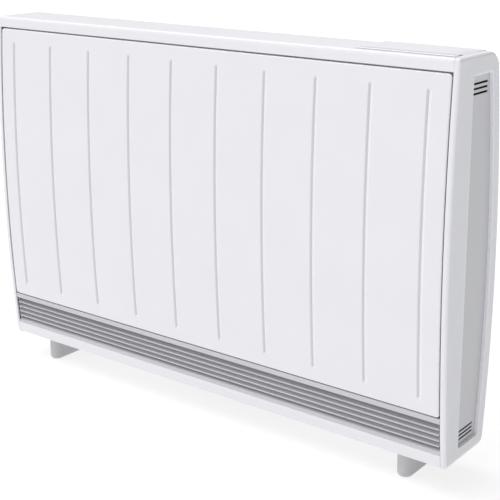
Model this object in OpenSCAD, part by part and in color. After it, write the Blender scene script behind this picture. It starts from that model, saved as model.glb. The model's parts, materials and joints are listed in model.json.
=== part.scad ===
// Storage heater: a night-charged brick core in an insulated steel case, with a
// fan-assisted outlet grille along the bottom and a lidded control bay on top.
// Lengths are millimetres. x runs across the heater, y runs back from the foremost
// line of the bowed front, and z runs up from the floor. seat() then moves the model
// so that its origin lies under the middle of its footprint.

/* [Overall size] */
// Width across both end caps
total_w = 1046; // [1040:1:1052]
// Height from the floor to the top of the control lid
total_h = 730; // [728:1:733]
// Depth from the front panel to the wall face of the brackets
total_d = 185; // [182:1:190]

/* [Casing] */
// Height that the control lid stands above the casing top
lid_rise = 3; // [2.5:0.5:3.5]
// Thickness of the painted sheet steel
sheet_t = 1.2; // [1:0.1:1.4]
// Radius of the gentle vertical bow of the front
bow_r = 3890; // [3700:10:4300]
// Height of the foremost line of the bow
bow_z = 422; // [415:1:430]
// Depth of the flat back of the casing
case_back_y = 148; // [147.8:0.1:148.5]
// Radius of the top rear corner of the casing
case_rear_r = 36; // [35:1:37]
// Radius of the crease between the front and the top
crease_r = 4; // [3:0.5:5]

/* [Front panel] */
// Height of the panel's lower edge
panel_z0 = 140; // [139.5:0.5:141]
// Height of the panel's upper edge
panel_z1 = 704.5; // [703:0.5:704.5]
// Number of pressed grooves
groove_count = 10; // [6:1:12]
// Distance between neighbouring grooves
groove_pitch = 105; // [60:1:106]
// Radius of a groove's round bottom
groove_r = 4; // [3.6:0.1:4.4]
// Depth of a groove
groove_depth = 1.8; // [1.2:0.1:2]
// Plain margin of the panel above and below the grooves
groove_margin = 24; // [15:1:40]
// Depth of the edges that are folded back round the panel
panel_return = 10; // [6:1:10]
// Shadow gap round the panel
gap = 1.5; // [1:0.1:2]

/* [End caps] */
// Width of a cap as it is seen from the front
cap_w = 10.5; // [10:0.5:11]
// Wall thickness of the mouldings
cap_wall = 3.2; // [2.8:0.1:3.4]
// Depth of the caps where their back is bowed out most
cap_back_y = 168; // [165:1:172]
// Radius of the bow of the caps' back
cap_back_r = 2434; // [2300:10:2700]
// Height of the caps' lower edge
cap_z0 = 46; // [45:0.5:47]
// Radius of the outer edge of a cap
cap_edge_r = 5; // [4:0.5:6]
// Radius of a cap's outer lower corner, seen from the front
cap_corner_r = 11; // [8:1:12]
// Front edge of the side window
window_y0 = 58; // [56:1:60]
// Lower edge of the side window
window_z0 = 72; // [71:1:74]
// Upper edge of the side window
window_z1 = 695; // [692:1:696]
// Width of the rim between the window and the bowed back
window_rim = 24; // [22:1:25]
// Depth of the side window, down to its plate
window_depth = 6.2; // [4:0.1:7]
// Height of a vent slot in the side plate
vent_h = 3.6; // [3:0.2:4]

/* [Outlet grille] */
// Height of the grille's upper edge
grille_z1 = 138.5; // [138:0.5:138.5]
// Height of the joint between the grille and the bottom rail
rail_z1 = 72.5; // [72:0.5:73.5]
// Height of the bottom rail's lower edge
rail_z0 = 48; // [47.5:0.5:48]
// Number of louvre blades
blade_count = 4; // [3:1:4]
// Distance between the blades
blade_pitch = 10.3; // [10:0.05:10.4]
// Front edge height of the uppermost blade
blade_top_z = 120; // [119:0.5:121]
// Depth of a blade
blade_w = 14; // [11:0.5:14]
// Rise of a blade towards the back
blade_rise = 8; // [6:0.5:9]
// Thickness of a blade
blade_t = 1.5; // [1.2:0.1:1.6]
// Width of the posts that hold the ends of the blades
grille_post_w = 2.4; // [2:0.1:6]

/* [Feet] */
// Distance from the middle of the heater to a foot
foot_x = 431; // [415:1:435]
// Width of a foot
foot_w = 29; // [27:1:31]
// Front end of a foot
foot_y0 = 32; // [30:1:36]
// Rear end of a foot
foot_y1 = 140; // [130:1:142]
// Radius of a foot's lower edge
foot_r = 8; // [5:0.5:10]

/* [Wall brackets] */
// Distance between the two wall screws
wall_spacing = 700; // [600:10:760]
// Height of the wall screws
wall_z = 612; // [600:1:618]
// Radius of a wall screw hole
wall_hole_r = 4.5; // [3:0.5:5]

/* [Controls] */
// Left end of the lid
lid_x0 = 328.5; // [326:0.5:330]
// Right end of the lid
lid_x1 = 506.5; // [505:0.5:507]
// Front edge of the lid
lid_y0 = 24; // [23:0.5:26]
// Radius of a push button
button_r = 6; // [5:0.5:6.5]
// Height of the fascia's face
fascia_z = 718; // [717.5:0.5:718]

/* [Heat store] */
// Number of bricks in a row
brick_count = 4; // [4:1:4]
// Length of the brick stack
core_l = 820; // [818:1:820]
// Height of one row of bricks
row_h = 76; // [75:0.5:76]
// Radius of a heating rod
rod_r = 4.2; // [3.5:0.1:4.2]

/* [Fan] */
// Radius of the impeller
impeller_r = 27; // [26:0.5:27.5]
// Number of blades on the impeller
impeller_blades = 24; // [16:1:28]
// Length of the impeller
impeller_l = 368; // [360:1:368]

/* [Hidden] */

// Fragments of a full turn for round holes, pins and small round parts
round_fn = 48;
// Fragments of a full turn of the very large bow circle
bow_fn = 1800;
// Small overlap that makes a cut pass right through
cut = 1;
// Clearance between parts that stand side by side
play = 0.2;

// Flat bands that make up the height of the bowed front
bow_bands = 12;

// Casing
case_z1 = total_h - lid_rise;
half_w = total_w / 2;
cap_x0 = half_w - cap_w;
panel_half_w = cap_x0 - gap;
side_x = half_w - 14;
side_in_x = side_x - sheet_t;
back_in_y = case_back_y - sheet_t;
back_panel_y = back_in_y - 0.2 - sheet_t;
skirt_z = 706;
rear_skirt_z = 640;
groove_w = 2 * sqrt(groove_r * groove_r - pow(groove_r - groove_depth, 2));
chassis_z1 = 700;
back_panel_z1 = 692;
tray_z = 49.6;
tray_top = tray_z + sheet_t;
inner_panel_y = 20.5;
chassis_y0 = inner_panel_y + 1.1;
chassis_y1 = back_panel_y - 0.1;
flange_x = side_in_x - 13;
behind_grille_y = 34.6;
behind_grille_z = 141;

// End caps
cap_front_r = 6;
cap_foot_r = 8;
cap_rear_r = 32;
cap_heel_r = 12;
post_r = 5.5;
cap_posts = [[40, 100], [40, 650], [138.5, 100], [138.5, 640]];
vents_top = [664.5, 672.5, 680.5];
vents_low = [82, 89, 96];
vent_y0 = window_y0 + 3;
vent_y1 = 118;

// Screws
screw_r = 1.9;
screw_hole_r = 2.1;
head_r = 3.6;
head_h = 1.8;
rear_screws = [90, 300, 520];
bracket_screw_dx = 14;
foot_screw_r = 2.1;
foot_screw_y = [62, 112];

// Wall brackets
bracket_w = 44;
bracket_t = 2;
bracket_z0 = 560;
bracket_z1 = 632;
bracket_arm_z = 590;

// Controls
bay_x0 = 322;
bay_x1 = 507.2;
bay_y0 = 22;
bay_y1 = 132.5;
bay_z0 = 702;
bay_wall = 1.5;
bay_wall_z = 722.4;
bay_rear_z = 718.4;
lid_low_z = case_z1 - 3.5;
lid_cut = 0.8;
hinge_y = 123;
hinge_z = case_z1 - 2.5;
hinge_r = 3.5;
hinge_pin_r = 1.5;
hinge_bore_r = 1.55;
ear_x = [342, 492];
ear_w = 4;
ear_r = 3.2;
pin_l = 16;
fascia_t = 2;
fascia_y0 = 26;
fascia_y1 = 114;
board_z = 704;
board_t = 1.6;
switch_h = 5.6;
button_y = 90;
button_pitch = 30;
button_first_x = 355;
button_rise = 1.4;
button_flange_r = button_r + 1.5;
display_x = [383, 447];
display_y = [36, 66];
loom_x = 480;
loom_y = 62;

// Heat store
core_x0 = -420;
core_x1 = core_x0 + core_l;
core_y = [41, 126];
core_z0 = 195;
rod_y = [62, 105];
rod_groove_r = 5;
air_hole_r = 10;
lining_x = [-490, 436];
lining_y = [22, 143.8];
lining_z = [152, 688];
rod_end_x = 448;
sensor_r = 2.5;
sensor_y = 83.5;
sensor_z = core_z0 + 3.5 * row_h;
core_tray_z = 150;
core_leg_x = [-490, 420];
hot_slot_x = 180;
hot_slot_y = [43, 58];

// Electrics
plate_x = 440;
plate_t = 1.2;

// Fan and damper
fan_y = 97;
fan_z = 96;
scroll_r = 33;
fan_plate_x = impeller_l / 2 + 4.5;
fan_plate_t = 1.5;
shaft_r = 3;
shaft_bore_r = 3.06;
damper_y = 66;
damper_z = 145.8;
damper_tip_y = 40;
damper_half_l = 185;
boost_y = 42;
boost_z = [88, 100];
boost_r = 4;
gland_x = [452, 484];
gland_z = 78;
gland_bore_r = 5;

// Depth of the bowed front surface at height z
function front_y(z) = bow_r - sqrt(bow_r * bow_r - (z - bow_z) * (z - bow_z));
// Depth of the end caps' bowed back at height z
function cap_y(z) = cap_back_y - cap_back_r + sqrt(cap_back_r * cap_back_r - (z - 372) * (z - 372));
// Turn of the bow circle that reaches height z
function bow_angle(z) = asin((z - bow_z) / bow_r);
// Points on an arc round [cx, cy]
function arc(cx, cy, r, a0, a1, n) = [
    for (i = [0:n]) let (a = a0 + (a1 - a0) * i / n) [cx + r * cos(a), cy + r * sin(a)]
];
// Points up the bowed front between two heights, without the two ends, set back by e
function front_line(za, zb, e, n) = [
    for (i = [1:n - 1]) let (z = za + (zb - za) * i / n) [front_y(z) + e, z]
];
// Points down the caps' back between two heights, without the two ends
function back_line(za, zb, e, n) = [
    for (i = [1:n - 1]) let (z = za + (zb - za) * i / n) [cap_y(z) - e, z]
];
// Faces of a solid made of level rings of n points, which run anticlockwise seen from above
function ring_faces(n, rings) = concat(
    [
        for (i = [0:rings - 2], k = [0:n - 1])
            let (a = i * n + k, b = i * n + (k + 1) % n)
                each [[a, a + n, b], [b, a + n, b + n]]
    ],
    [[for (k = [0:n - 1]) k]],
    [[for (k = [n - 1:-1:0]) (rings - 1) * n + k]]
);
// Position of button number i
function button_x(i) = button_first_x + i * button_pitch;

// Outline of an end cap from the side: e draws it in all round, lift raises its lower edge
function cap_outline(e, lift = 0) =
    let (
        zt = case_z1,
        zf = cap_z0 + lift + cap_foot_r,
        zh = cap_z0 + lift + cap_heel_r,
        ztf = zt - cap_front_r,
        ztr = zt - cap_rear_r
    )
    concat(
        front_line(zf, ztf, e, 18),
        arc(front_y(ztf) + cap_front_r, ztf, cap_front_r - e, 180, 90, 4),
        arc(cap_y(ztr) - cap_rear_r, ztr, cap_rear_r - e, 90, 0, 10),
        back_line(ztr, zh, e, 18),
        arc(cap_y(zh) - cap_heel_r, zh, cap_heel_r - e, 0, -90, 5),
        arc(front_y(zf) + cap_foot_r, zf, cap_foot_r - e, -90, -180, 4)
    );

// Outline of the side window, or of the plate behind it where e widens it
function window_outline(e) =
    let (r = 6, z0 = window_z0 - e, z1 = window_z1 + e, y0 = window_y0 - e, rim = window_rim - e)
    concat(
        arc(y0 + r, z0 + r, r, 270, 180, 4),
        arc(y0 + r, z1 - r, r, 180, 90, 4),
        arc(cap_y(z1 - r) - rim - r, z1 - r, r, 90, 0, 4),
        back_line(z1 - r, z0 + r, rim, 18),
        arc(cap_y(z0 + r) - rim - r, z0 + r, r, 0, -90, 4)
    );

// Outline of the folded casing from the side, drawn in by e, down to height z0
function casing_outline(e, z0) =
    let (zf = case_z1 - crease_r, yr = case_back_y - case_rear_r, zr = case_z1 - case_rear_r)
    concat(
        [[front_y(z0) + e, z0]],
        front_line(z0, zf, e, 6),
        arc(front_y(zf) + crease_r, zf, crease_r - e, 180, 90, 5),
        arc(yr, zr, case_rear_r - e, 90, 0, 14),
        [[case_back_y - e, z0]]
    );

module seat() {
    translate([0, -total_d / 2, 0]) children();
}
module mirrored_x() {
    children();
    mirror([1, 0, 0]) children();
}
// A box between two corners
module box(a, b) {
    translate(a) cube(b - a);
}
// Carries an outline drawn in depth and height along x
module along_x(x0, x1) {
    translate([x0, 0, 0]) rotate([90, 0, 90]) linear_extrude(x1 - x0) children();
}
// A round bar or bore along x, y or z
module bar_x(x0, x1, y, z, r) {
    translate([x0, y, z]) rotate([0, 90, 0]) cylinder(h = x1 - x0, r = r, $fn = round_fn);
}
module bar_y(x, y0, y1, z, r) {
    translate([x, y0, z]) rotate([-90, 0, 0]) cylinder(h = y1 - y0, r = r, $fn = round_fn);
}
module bar_z(x, y, z0, z1, r) {
    translate([x, y, z0]) cylinder(h = z1 - z0, r = r, $fn = round_fn);
}
// Sweeps a section up the bow: its x is the depth behind the front, its y runs across
module bow_sweep(z0, z1) {
    translate([0, bow_r, bow_z]) rotate([-90, 0, 0]) rotate([0, 90, 0])
        rotate([0, 0, -bow_angle(z1)])
            rotate_extrude(angle = bow_angle(z1) - bow_angle(z0), $fn = bow_fn)
                translate([bow_r, 0]) mirror([1, 0]) children();
}

// ---- Casing ----

// Sections of the grooves: round arcs closed by a straight edge in front of the panel
module groove_sections() {
    middle = groove_depth - groove_r;
    half = acos(-middle / groove_r);
    for (i = [0:groove_count - 1])
        translate([0, (i - (groove_count - 1) / 2) * groove_pitch])
            polygon(concat(
                arc(middle, 0, groove_r, -half, half, 8),
                [[-cut, groove_w / 2], [-cut, -groove_w / 2]]
            ));
}
// Sections of the ridges that the grooves make behind the sheet
module ridge_sections() {
    w = groove_w / 2 + sheet_t;
    for (i = [0:groove_count - 1])
        translate([sheet_t / 2, (i - (groove_count - 1) / 2) * groove_pitch - w])
            square([groove_depth + sheet_t / 2, 2 * w]);
}
// A slab that follows the bow between two heights and two depths behind the front
module bowed_slab(x0, x1, z0, z1, e0, e1) {
    back = front_line(z0, z1, e1, bow_bands);
    along_x(x0, x1) polygon(concat(
        [[front_y(z0) + e0, z0]],
        front_line(z0, z1, e0, bow_bands),
        [[front_y(z1) + e0, z1], [front_y(z1) + e1, z1]],
        [for (i = [len(back) - 1:-1:0]) back[i]],
        [[front_y(z0) + e1, z0]]
    ));
}
module front_panel() {
    w = panel_half_w;
    t = sheet_t;
    z0 = panel_z0 + groove_margin;
    z1 = panel_z1 - groove_margin;
    color("ghostwhite") difference() {
        union() {
            difference() {
                bowed_slab(-w, w, panel_z0, panel_z1, 0, panel_return);
                bowed_slab(t - w, w - t, panel_z0 + t, panel_z1 - t, t, panel_return + cut);
            }
            bow_sweep(z0 - t, z1 + t) ridge_sections();
        }
        bow_sweep(z0, z1) groove_sections();
    }
}

module inner_front_panel() {
    color("silver") difference() {
        box([-side_in_x + play, inner_panel_y, panel_z0], [side_in_x - play, inner_panel_y + 1, panel_z1]);
        for (x = [-side_x + 7, side_x - 7], z = [190, 420, 650])
            bar_y(x, inner_panel_y - cut, inner_panel_y + 1 + cut, z, screw_hole_r);
    }
}

module lid_opening(z0) {
    box([lid_x0 - lid_cut, lid_y0 - lid_cut, z0],
        [lid_x1 + lid_cut, hinge_y + hinge_r + lid_cut, total_h + cut]);
}
module top_casing() {
    color("ghostwhite") difference() {
        along_x(-panel_half_w, panel_half_w) difference() {
            polygon(casing_outline(0, rear_skirt_z));
            polygon(casing_outline(sheet_t, rear_skirt_z - cut));
        }
        box([-half_w, -cut, rear_skirt_z - cut], [half_w, 60, skirt_z]);
        lid_opening(case_z1 - 12);
        for (x = [-side_x + 7, side_x - 7])
            bar_y(x, back_in_y - cut, case_back_y + cut, 670, screw_hole_r);
    }
}

// How far an edge of radius r is rounded off at distance s from the outer face
function round_off(r, s) = s < r ? r - sqrt(r * r - pow(r - s, 2)) : 0;

module cap_shell() {
    hull() {
        along_x(cap_x0, cap_x0 + 0.01) polygon(cap_outline(0));
        for (i = [0:6])
            let (
                s = cap_w * pow(i / 6, 2) + 0.01,
                e = round_off(cap_edge_r, s),
                lift = round_off(cap_corner_r, s)
            )
                along_x(half_w - s, half_w - s + 0.01) polygon(cap_outline(e, max(lift - e, 0)));
    }
}
module end_cap() {
    color("ghostwhite") difference() {
        union() {
            difference() {
                cap_shell();
                along_x(cap_x0 - cut, half_w - cap_wall) polygon(cap_outline(cap_wall));
                along_x(cap_x0, half_w + cut) polygon(window_outline(0));
            }
            difference() {
                along_x(half_w - window_depth, half_w - cap_wall + 0.2) polygon(window_outline(2.2));
                along_x(half_w - window_depth - cut, half_w + cut) polygon(window_outline(0));
            }
            for (p = cap_posts)
                bar_x(side_x + 0.1, half_w - cap_wall + 0.2, p[0], p[1], post_r);
        }
        for (p = cap_posts)
            bar_x(side_x - cut, half_w - cap_wall - 2, p[0], p[1], screw_r + 0.05);
    }
}
module right_end_cap() {
    end_cap();
}
module left_end_cap() {
    mirror([1, 0, 0]) end_cap();
}

module vent_slots(x0, x1) {
    for (z = concat(vents_top, vents_low))
        box([x0, vent_y0 + vent_h / 2, z - vent_h / 2], [x1, vent_y1 - vent_h / 2, z + vent_h / 2]);
}
module side_plate() {
    x1 = half_w - window_depth - 0.1;
    color("gainsboro") difference() {
        along_x(x1 - 1.5, x1) polygon(window_outline(3.5));
        vent_slots(x1 - 1.5 - cut, x1 + cut);
        for (z = concat(vents_top, vents_low), y = [vent_y0 + vent_h / 2, vent_y1 - vent_h / 2])
            bar_x(x1 - 1.5 - cut, x1 + cut, y, z, vent_h / 2);
    }
}
module right_side_plate() {
    side_plate();
}
module left_side_plate() {
    mirror([1, 0, 0]) side_plate();
}

module chassis_side() {
    color("silver") difference() {
        union() {
            box([side_in_x, chassis_y0, tray_top + 0.1], [side_x, chassis_y1, chassis_z1]);
            box([flange_x, chassis_y0, behind_grille_z], [side_x, chassis_y0 + sheet_t, chassis_z1]);
            box([flange_x, chassis_y1 - sheet_t, tray_top + 15], [side_x, chassis_y1, chassis_z1]);
        }
        box([side_in_x - cut, chassis_y0 - cut, tray_top - cut],
            [side_x + cut, behind_grille_y, behind_grille_z]);
        vent_slots(side_in_x - cut, side_x + cut);
        for (p = cap_posts)
            bar_x(side_in_x - cut, side_x + cut, p[0], p[1], screw_hole_r);
        for (z = concat(rear_screws, [670]))
            bar_y(side_x - 7, chassis_y1 - sheet_t - cut, chassis_y1 + cut, z, screw_hole_r);
        for (z = [190, 420, 650])
            bar_y(side_x - 7, chassis_y0 - cut, chassis_y0 + sheet_t + cut, z, screw_hole_r);
    }
}
module right_chassis_side() {
    chassis_side();
}
module left_chassis_side() {
    mirror([1, 0, 0]) chassis_side();
}

module back_panel() {
    y1 = back_panel_y + sheet_t;
    color("gainsboro") difference() {
        box([-side_x, back_panel_y, tray_top + 0.1], [side_x, y1, back_panel_z1]);
        for (x = [-side_x + 7, side_x - 7], z = concat(rear_screws, [670]))
            bar_y(x, back_panel_y - cut, y1 + cut, z, screw_hole_r);
        for (x = gland_x)
            bar_y(x, back_panel_y - cut, y1 + cut, gland_z, 8);
        for (s = [-1, 1], dx = [-bracket_screw_dx, bracket_screw_dx])
            bar_y(s * wall_spacing / 2 + dx, back_panel_y - cut, y1 + cut, bracket_z0 + 12, screw_hole_r);
    }
}

module base_tray() {
    x1 = side_in_x - play;
    y0 = 25.5;
    lip_z = tray_top + 11;
    color("silver") difference() {
        union() {
            box([-x1, y0, tray_z], [x1, chassis_y1, tray_top]);
            box([-x1, y0, tray_z], [x1, y0 + sheet_t, lip_z]);
            box([-x1, chassis_y1 - sheet_t, tray_z], [x1, chassis_y1, lip_z]);
        }
        for (x = [-168:14:168])
            box([x - 3, 98, tray_z - cut], [x + 3, 134, tray_top + cut]);
        for (s = [-1, 1], y = foot_screw_y)
            bar_z(s * foot_x, y, tray_z - cut, tray_top + cut, foot_screw_r + 0.2);
    }
}

module bottom_rail() {
    r = cap_foot_r;
    t = 1.6;
    z1 = rail_z0 + r;
    y1 = foot_y0 - 0.5;
    color("white") along_x(-cap_x0 + 0.4, cap_x0 - 0.4) polygon(concat(
        [[front_y(rail_z1), rail_z1]],
        arc(front_y(z1) + r, z1, r, 180, 270, 8),
        [[y1, rail_z0], [y1, rail_z0 + t - 0.1]],
        arc(front_y(z1) + r, z1, r - t + 0.1, 270, 180, 8),
        [[front_y(rail_z1) + t, rail_z1]]
    ));
}

// ---- Outlet grille ----

module grille_section(y0, y1) {
    x1 = cap_x0 - 1;
    translate([y0, -x1]) square([y1 - y0, 2 * x1]);
}
module grille_frame() {
    x1 = cap_x0 - 1;
    post_w = grille_post_w;
    strip_z = 129.5;
    y_low = front_y(rail_z1);
    apron = rail_z1 + 0.3;
    color("lightgray") {
        bow_sweep(strip_z, grille_z1) grille_section(0.6, 2.6);
        bow_sweep(grille_z1 - 1.5, grille_z1) grille_section(0.6, 9);
        for (x = [-x1, x1 - post_w])
            bow_sweep(apron, grille_z1 - 0.5) translate([5, x]) square([13.6, post_w]);
        along_x(-x1, x1) polygon([
            [y_low + 0.6, apron], [y_low + 13, apron + 8], [y_low + 13, apron + 6.5], [y_low + 2.6, apron]
        ]);
        for (x = [-340:170:340])
            translate([x - 1, 0, 0]) {
                box([0, 31, apron + 6.8], [2, 35, grille_z1 - 1]);
                box([0, front_y(strip_z) + 1.5, strip_z + 4], [2, 35, grille_z1 - 1]);
                box([0, 26, apron + 6.8], [2, 35, apron + 9]);
            }
    }
}

module louvre_blades() {
    x1 = cap_x0 - 1 - grille_post_w - 0.1;
    color("darkgray") for (i = [0:blade_count - 1])
        let (z = blade_top_z - i * blade_pitch, y = front_y(z) + 1.8)
            along_x(-x1, x1) polygon([
                [y, z - blade_t], [y + 1, z - blade_t], [y + blade_w, z + blade_rise - blade_t],
                [y + blade_w, z + blade_rise], [y, z]
            ]);
}

// ---- Feet, brackets and screws ----

module foot() {
    h = tray_z - 0.1;
    r = foot_w / 2;
    half = concat(arc(r - foot_r, foot_r, foot_r, -90, 0, 8), [[r, h]]);
    full = concat(half, [for (i = [len(half) - 1:-1:0]) [-half[i][0], half[i][1]]]);
    color("dimgray") difference() {
        union() {
            translate([foot_x, foot_y0 + r, 0]) rotate([0, 0, 180])
                rotate_extrude(angle = 180, $fn = 96) polygon(concat([[0, 0]], half, [[0, h]]));
            translate([foot_x, foot_y1 - r, 0])
                rotate_extrude(angle = 180, $fn = 96) polygon(concat([[0, 0]], half, [[0, h]]));
            translate([foot_x, foot_y1 - r, 0]) rotate([90, 0, 0])
                linear_extrude(foot_y1 - foot_y0 - 2 * r) polygon(full);
        }
        for (y = foot_screw_y)
            bar_z(foot_x, y, h - 16, h + cut, foot_screw_r + 0.05);
    }
}
module right_foot() {
    foot();
}
module left_foot() {
    mirror([1, 0, 0]) foot();
}
module foot_screws() {
    color("silver") mirrored_x() for (y = foot_screw_y) {
        bar_z(foot_x, y, tray_z - 15, tray_top + 0.1, foot_screw_r);
        bar_z(foot_x, y, tray_top + 0.1, tray_top + 2.6, 2 * foot_screw_r);
    }
}

module wall_bracket() {
    x = wall_spacing / 2;
    y0 = back_panel_y + sheet_t + 0.1;
    color("silver") difference() {
        union() {
            box([x - bracket_w / 2, y0, bracket_z0], [x + bracket_w / 2, y0 + bracket_t, bracket_arm_z]);
            box([x - bracket_w / 2, y0, bracket_arm_z - bracket_t],
                [x + bracket_w / 2, total_d, bracket_arm_z]);
            box([x - bracket_w / 2, total_d - bracket_t, bracket_arm_z - bracket_t],
                [x + bracket_w / 2, total_d, bracket_z1]);
        }
        bar_y(x, total_d - bracket_t - cut, total_d + cut, wall_z, wall_hole_r);
        for (dx = [-bracket_screw_dx, bracket_screw_dx])
            bar_y(x + dx, y0 - cut, y0 + bracket_t + cut, bracket_z0 + 12, screw_hole_r);
    }
}
module right_wall_bracket() {
    wall_bracket();
}
module left_wall_bracket() {
    mirror([1, 0, 0]) wall_bracket();
}

// A pan-head screw that points along -y, with the underside of its head at y
module rear_screw(x, y, z, l) {
    bar_y(x, y - l, y + 0.1, z, screw_r);
    bar_y(x, y + 0.1, y + head_h, z, head_r);
}
module case_screws() {
    panel_y = back_panel_y + sheet_t;
    color("gray") mirrored_x() {
        for (z = rear_screws)
            rear_screw(side_x - 7, panel_y, z, 6);
        rear_screw(side_x - 7, case_back_y, 670, 7);
        for (dx = [-bracket_screw_dx, bracket_screw_dx])
            rear_screw(wall_spacing / 2 + dx, panel_y + bracket_t + 0.1, bracket_z0 + 12, 4.5);
        for (p = cap_posts) {
            bar_x(side_in_x - 0.1, half_w - cap_wall - 3, p[0], p[1], screw_r);
            bar_x(side_in_x - head_h, side_in_x - 0.1, p[0], p[1], head_r);
        }
        for (z = [190, 420, 650]) {
            bar_y(side_x - 7, inner_panel_y - 0.1, chassis_y0 + 6, z, screw_r);
            bar_y(side_x - 7, inner_panel_y - head_h, inner_panel_y - 0.1, z, head_r);
        }
    }
}

// ---- Controls ----

module control_lid() {
    zt = total_h;
    color("white") difference() {
        union() {
            along_x(lid_x0, lid_x1) polygon(concat(
                [[lid_y0, lid_low_z + 1]],
                arc(lid_y0 + 1.5, case_z1, 1.5, 180, 20, 6),
                [[lid_y0 + 4, case_z1 + 0.2], [lid_y0 + 6, case_z1 + 0.8], [lid_y0 + 30, zt - 0.4]],
                [[lid_y0 + 40, zt], [hinge_y - 17, zt], [hinge_y - 8, zt - 0.5]],
                [[hinge_y, hinge_z + hinge_r - 0.1], [hinge_y, lid_low_z], [lid_y0 + 1, lid_low_z]]
            ));
            bar_x(lid_x0, lid_x1, hinge_y, hinge_z, hinge_r);
        }
        for (x = ear_x) {
            bar_x(x - ear_w / 2 - 0.5, x + ear_w / 2 + 0.5, hinge_y, hinge_z, hinge_r + 0.6);
            box([x - ear_w / 2 - 0.5, hinge_y - hinge_r - 0.6, lid_low_z - 6],
                [x + ear_w / 2 + 0.5, hinge_y + hinge_r + 1, hinge_z]);
            bar_x(x - pin_l / 2 - 0.5, x + pin_l / 2 + 0.5, hinge_y, hinge_z, hinge_bore_r);
        }
        bar_z(lid_x0 - 9, 90, lid_low_z - cut, zt + cut, 16);
        bar_z(lid_x1 + 6, lid_y0 + 22, lid_low_z - cut, zt + cut, 11);
    }
}
module lid_hinge_pins() {
    color("silver") for (x = ear_x)
        bar_x(x - pin_l / 2, x + pin_l / 2, hinge_y, hinge_z, hinge_pin_r);
}

module control_tray() {
    color("darkgray") difference() {
        union() {
            difference() {
                box([bay_x0, bay_y0, bay_z0], [bay_x1, bay_y1, bay_wall_z]);
                box([bay_x0 + bay_wall, bay_y0 + bay_wall, bay_z0 + bay_wall],
                    [bay_x1 - bay_wall, bay_y1 - bay_wall, bay_wall_z + cut]);
                box([bay_x0 - cut, hinge_y - 10, bay_rear_z], [bay_x1 + cut, bay_y1 + cut, bay_wall_z + cut]);
            }
            for (x = ear_x) {
                box([x - ear_w / 2, hinge_y - ear_r, bay_z0], [x + ear_w / 2, hinge_y + ear_r, hinge_z]);
                bar_x(x - ear_w / 2, x + ear_w / 2, hinge_y, hinge_z, ear_r);
            }
            for (x = [bay_x0 + bay_wall, bay_x1 - bay_wall - 4], y = [fascia_y0 + 2, fascia_y1 - 8])
                box([x - 0.2, y, bay_z0], [x + 4.2, y + 6, fascia_z - fascia_t - 0.1]);
            for (x = [338, 498], y = [50, 100])
                bar_z(x, y, bay_z0, board_z - 0.1, 3);
        }
        for (x = ear_x)
            bar_x(x - ear_w, x + ear_w, hinge_y, hinge_z, hinge_pin_r);
        bar_z(loom_x, loom_y, bay_z0 - cut, bay_z0 + bay_wall + cut, 6);
    }
}

module control_fascia() {
    z0 = fascia_z - fascia_t;
    color("dimgray") difference() {
        box([bay_x0 + bay_wall + play, fascia_y0, z0], [bay_x1 - bay_wall - play, fascia_y1, fascia_z]);
        for (i = [0:4])
            bar_z(button_x(i), button_y, z0 - cut, fascia_z + cut, button_r + 0.2);
        box([display_x[0], display_y[0], z0 - cut], [display_x[1], display_y[1], fascia_z + cut]);
    }
}
module display_window() {
    color("black") box([display_x[0] + play, display_y[0] + play, fascia_z - fascia_t + 0.2],
        [display_x[1] - play, display_y[1] - play, fascia_z]);
}
module control_board() {
    top = board_z + board_t;
    color("green") box([330, 28, board_z], [500, 112, top]);
    color("black") for (i = [0:4])
        box([button_x(i) - 3, button_y - 3, top], [button_x(i) + 3, button_y + 3, top + switch_h]);
    color("gray") box([display_x[0] - 2, display_y[0] - 2, top],
        [display_x[1] + 2, display_y[1] + 2, fascia_z - fascia_t - 0.1]);
    color("silver") for (x = [360:24:480])
        bar_z(x, 106, top, top + 5, 3);
}
module push_button(i) {
    low = fascia_z - fascia_t;
    bar_z(button_x(i), button_y, low - 3.4, low - 1.7, 3);
    bar_z(button_x(i), button_y, low - 1.7, low - 0.1, button_flange_r);
    bar_z(button_x(i), button_y, low - 0.1, fascia_z + button_rise, button_r);
}
module button_menu() {
    color("white") push_button(0);
}
module button_back() {
    color("white") push_button(1);
}
module button_down() {
    color("white") push_button(2);
}
module button_up() {
    color("white") push_button(3);
}
module button_boost() {
    color("white") push_button(4);
}

// ---- Heat store ----

module brick(x0, z0) {
    l = core_l / brick_count - 0.6;
    difference() {
        box([x0, core_y[0], z0], [x0 + l, core_y[1], z0 + row_h - 0.6]);
        for (y = rod_y, z = [z0 - 0.3, z0 + row_h - 0.3])
            bar_x(x0 - cut, x0 + l + cut, y, z, rod_groove_r);
        for (x = [x0 + l / 4, x0 + 3 * l / 4])
            bar_z(x, sensor_y, z0 - cut, z0 + row_h, air_hole_r);
    }
}
module brick_rows(first) {
    color("saddlebrown") for (row = [first, first + 1], i = [0:brick_count - 1])
        brick(core_x0 + i * core_l / brick_count, core_z0 + row * row_h);
}
module bricks_lower() {
    brick_rows(0);
}
module bricks_middle() {
    difference() {
        brick_rows(2);
        bar_x(core_x1 - 30, core_x1 + cut, sensor_y, sensor_z, sensor_r + 0.5);
    }
}
module bricks_upper() {
    brick_rows(4);
}

// A hairpin of two rods through one joint between the brick rows
module hairpin(row) {
    z = core_z0 + row * row_h - 0.3;
    xb = core_x0 - 4;
    mid = (rod_y[0] + rod_y[1]) / 2;
    color("slategray") {
        for (y = rod_y) {
            bar_x(xb, rod_end_x, y, z, rod_r);
            bar_x(rod_end_x, rod_end_x + 10, y, z, 1.5);
        }
        translate([xb, mid, z]) rotate([0, 0, 90])
            rotate_extrude(angle = 180, $fn = round_fn)
                translate([(rod_y[1] - rod_y[0]) / 2, 0]) circle(r = rod_r, $fn = 24);
    }
}
module heating_element_lower() {
    hairpin(1);
}
module heating_element_middle() {
    hairpin(3);
}
module heating_element_upper() {
    hairpin(5);
}

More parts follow.
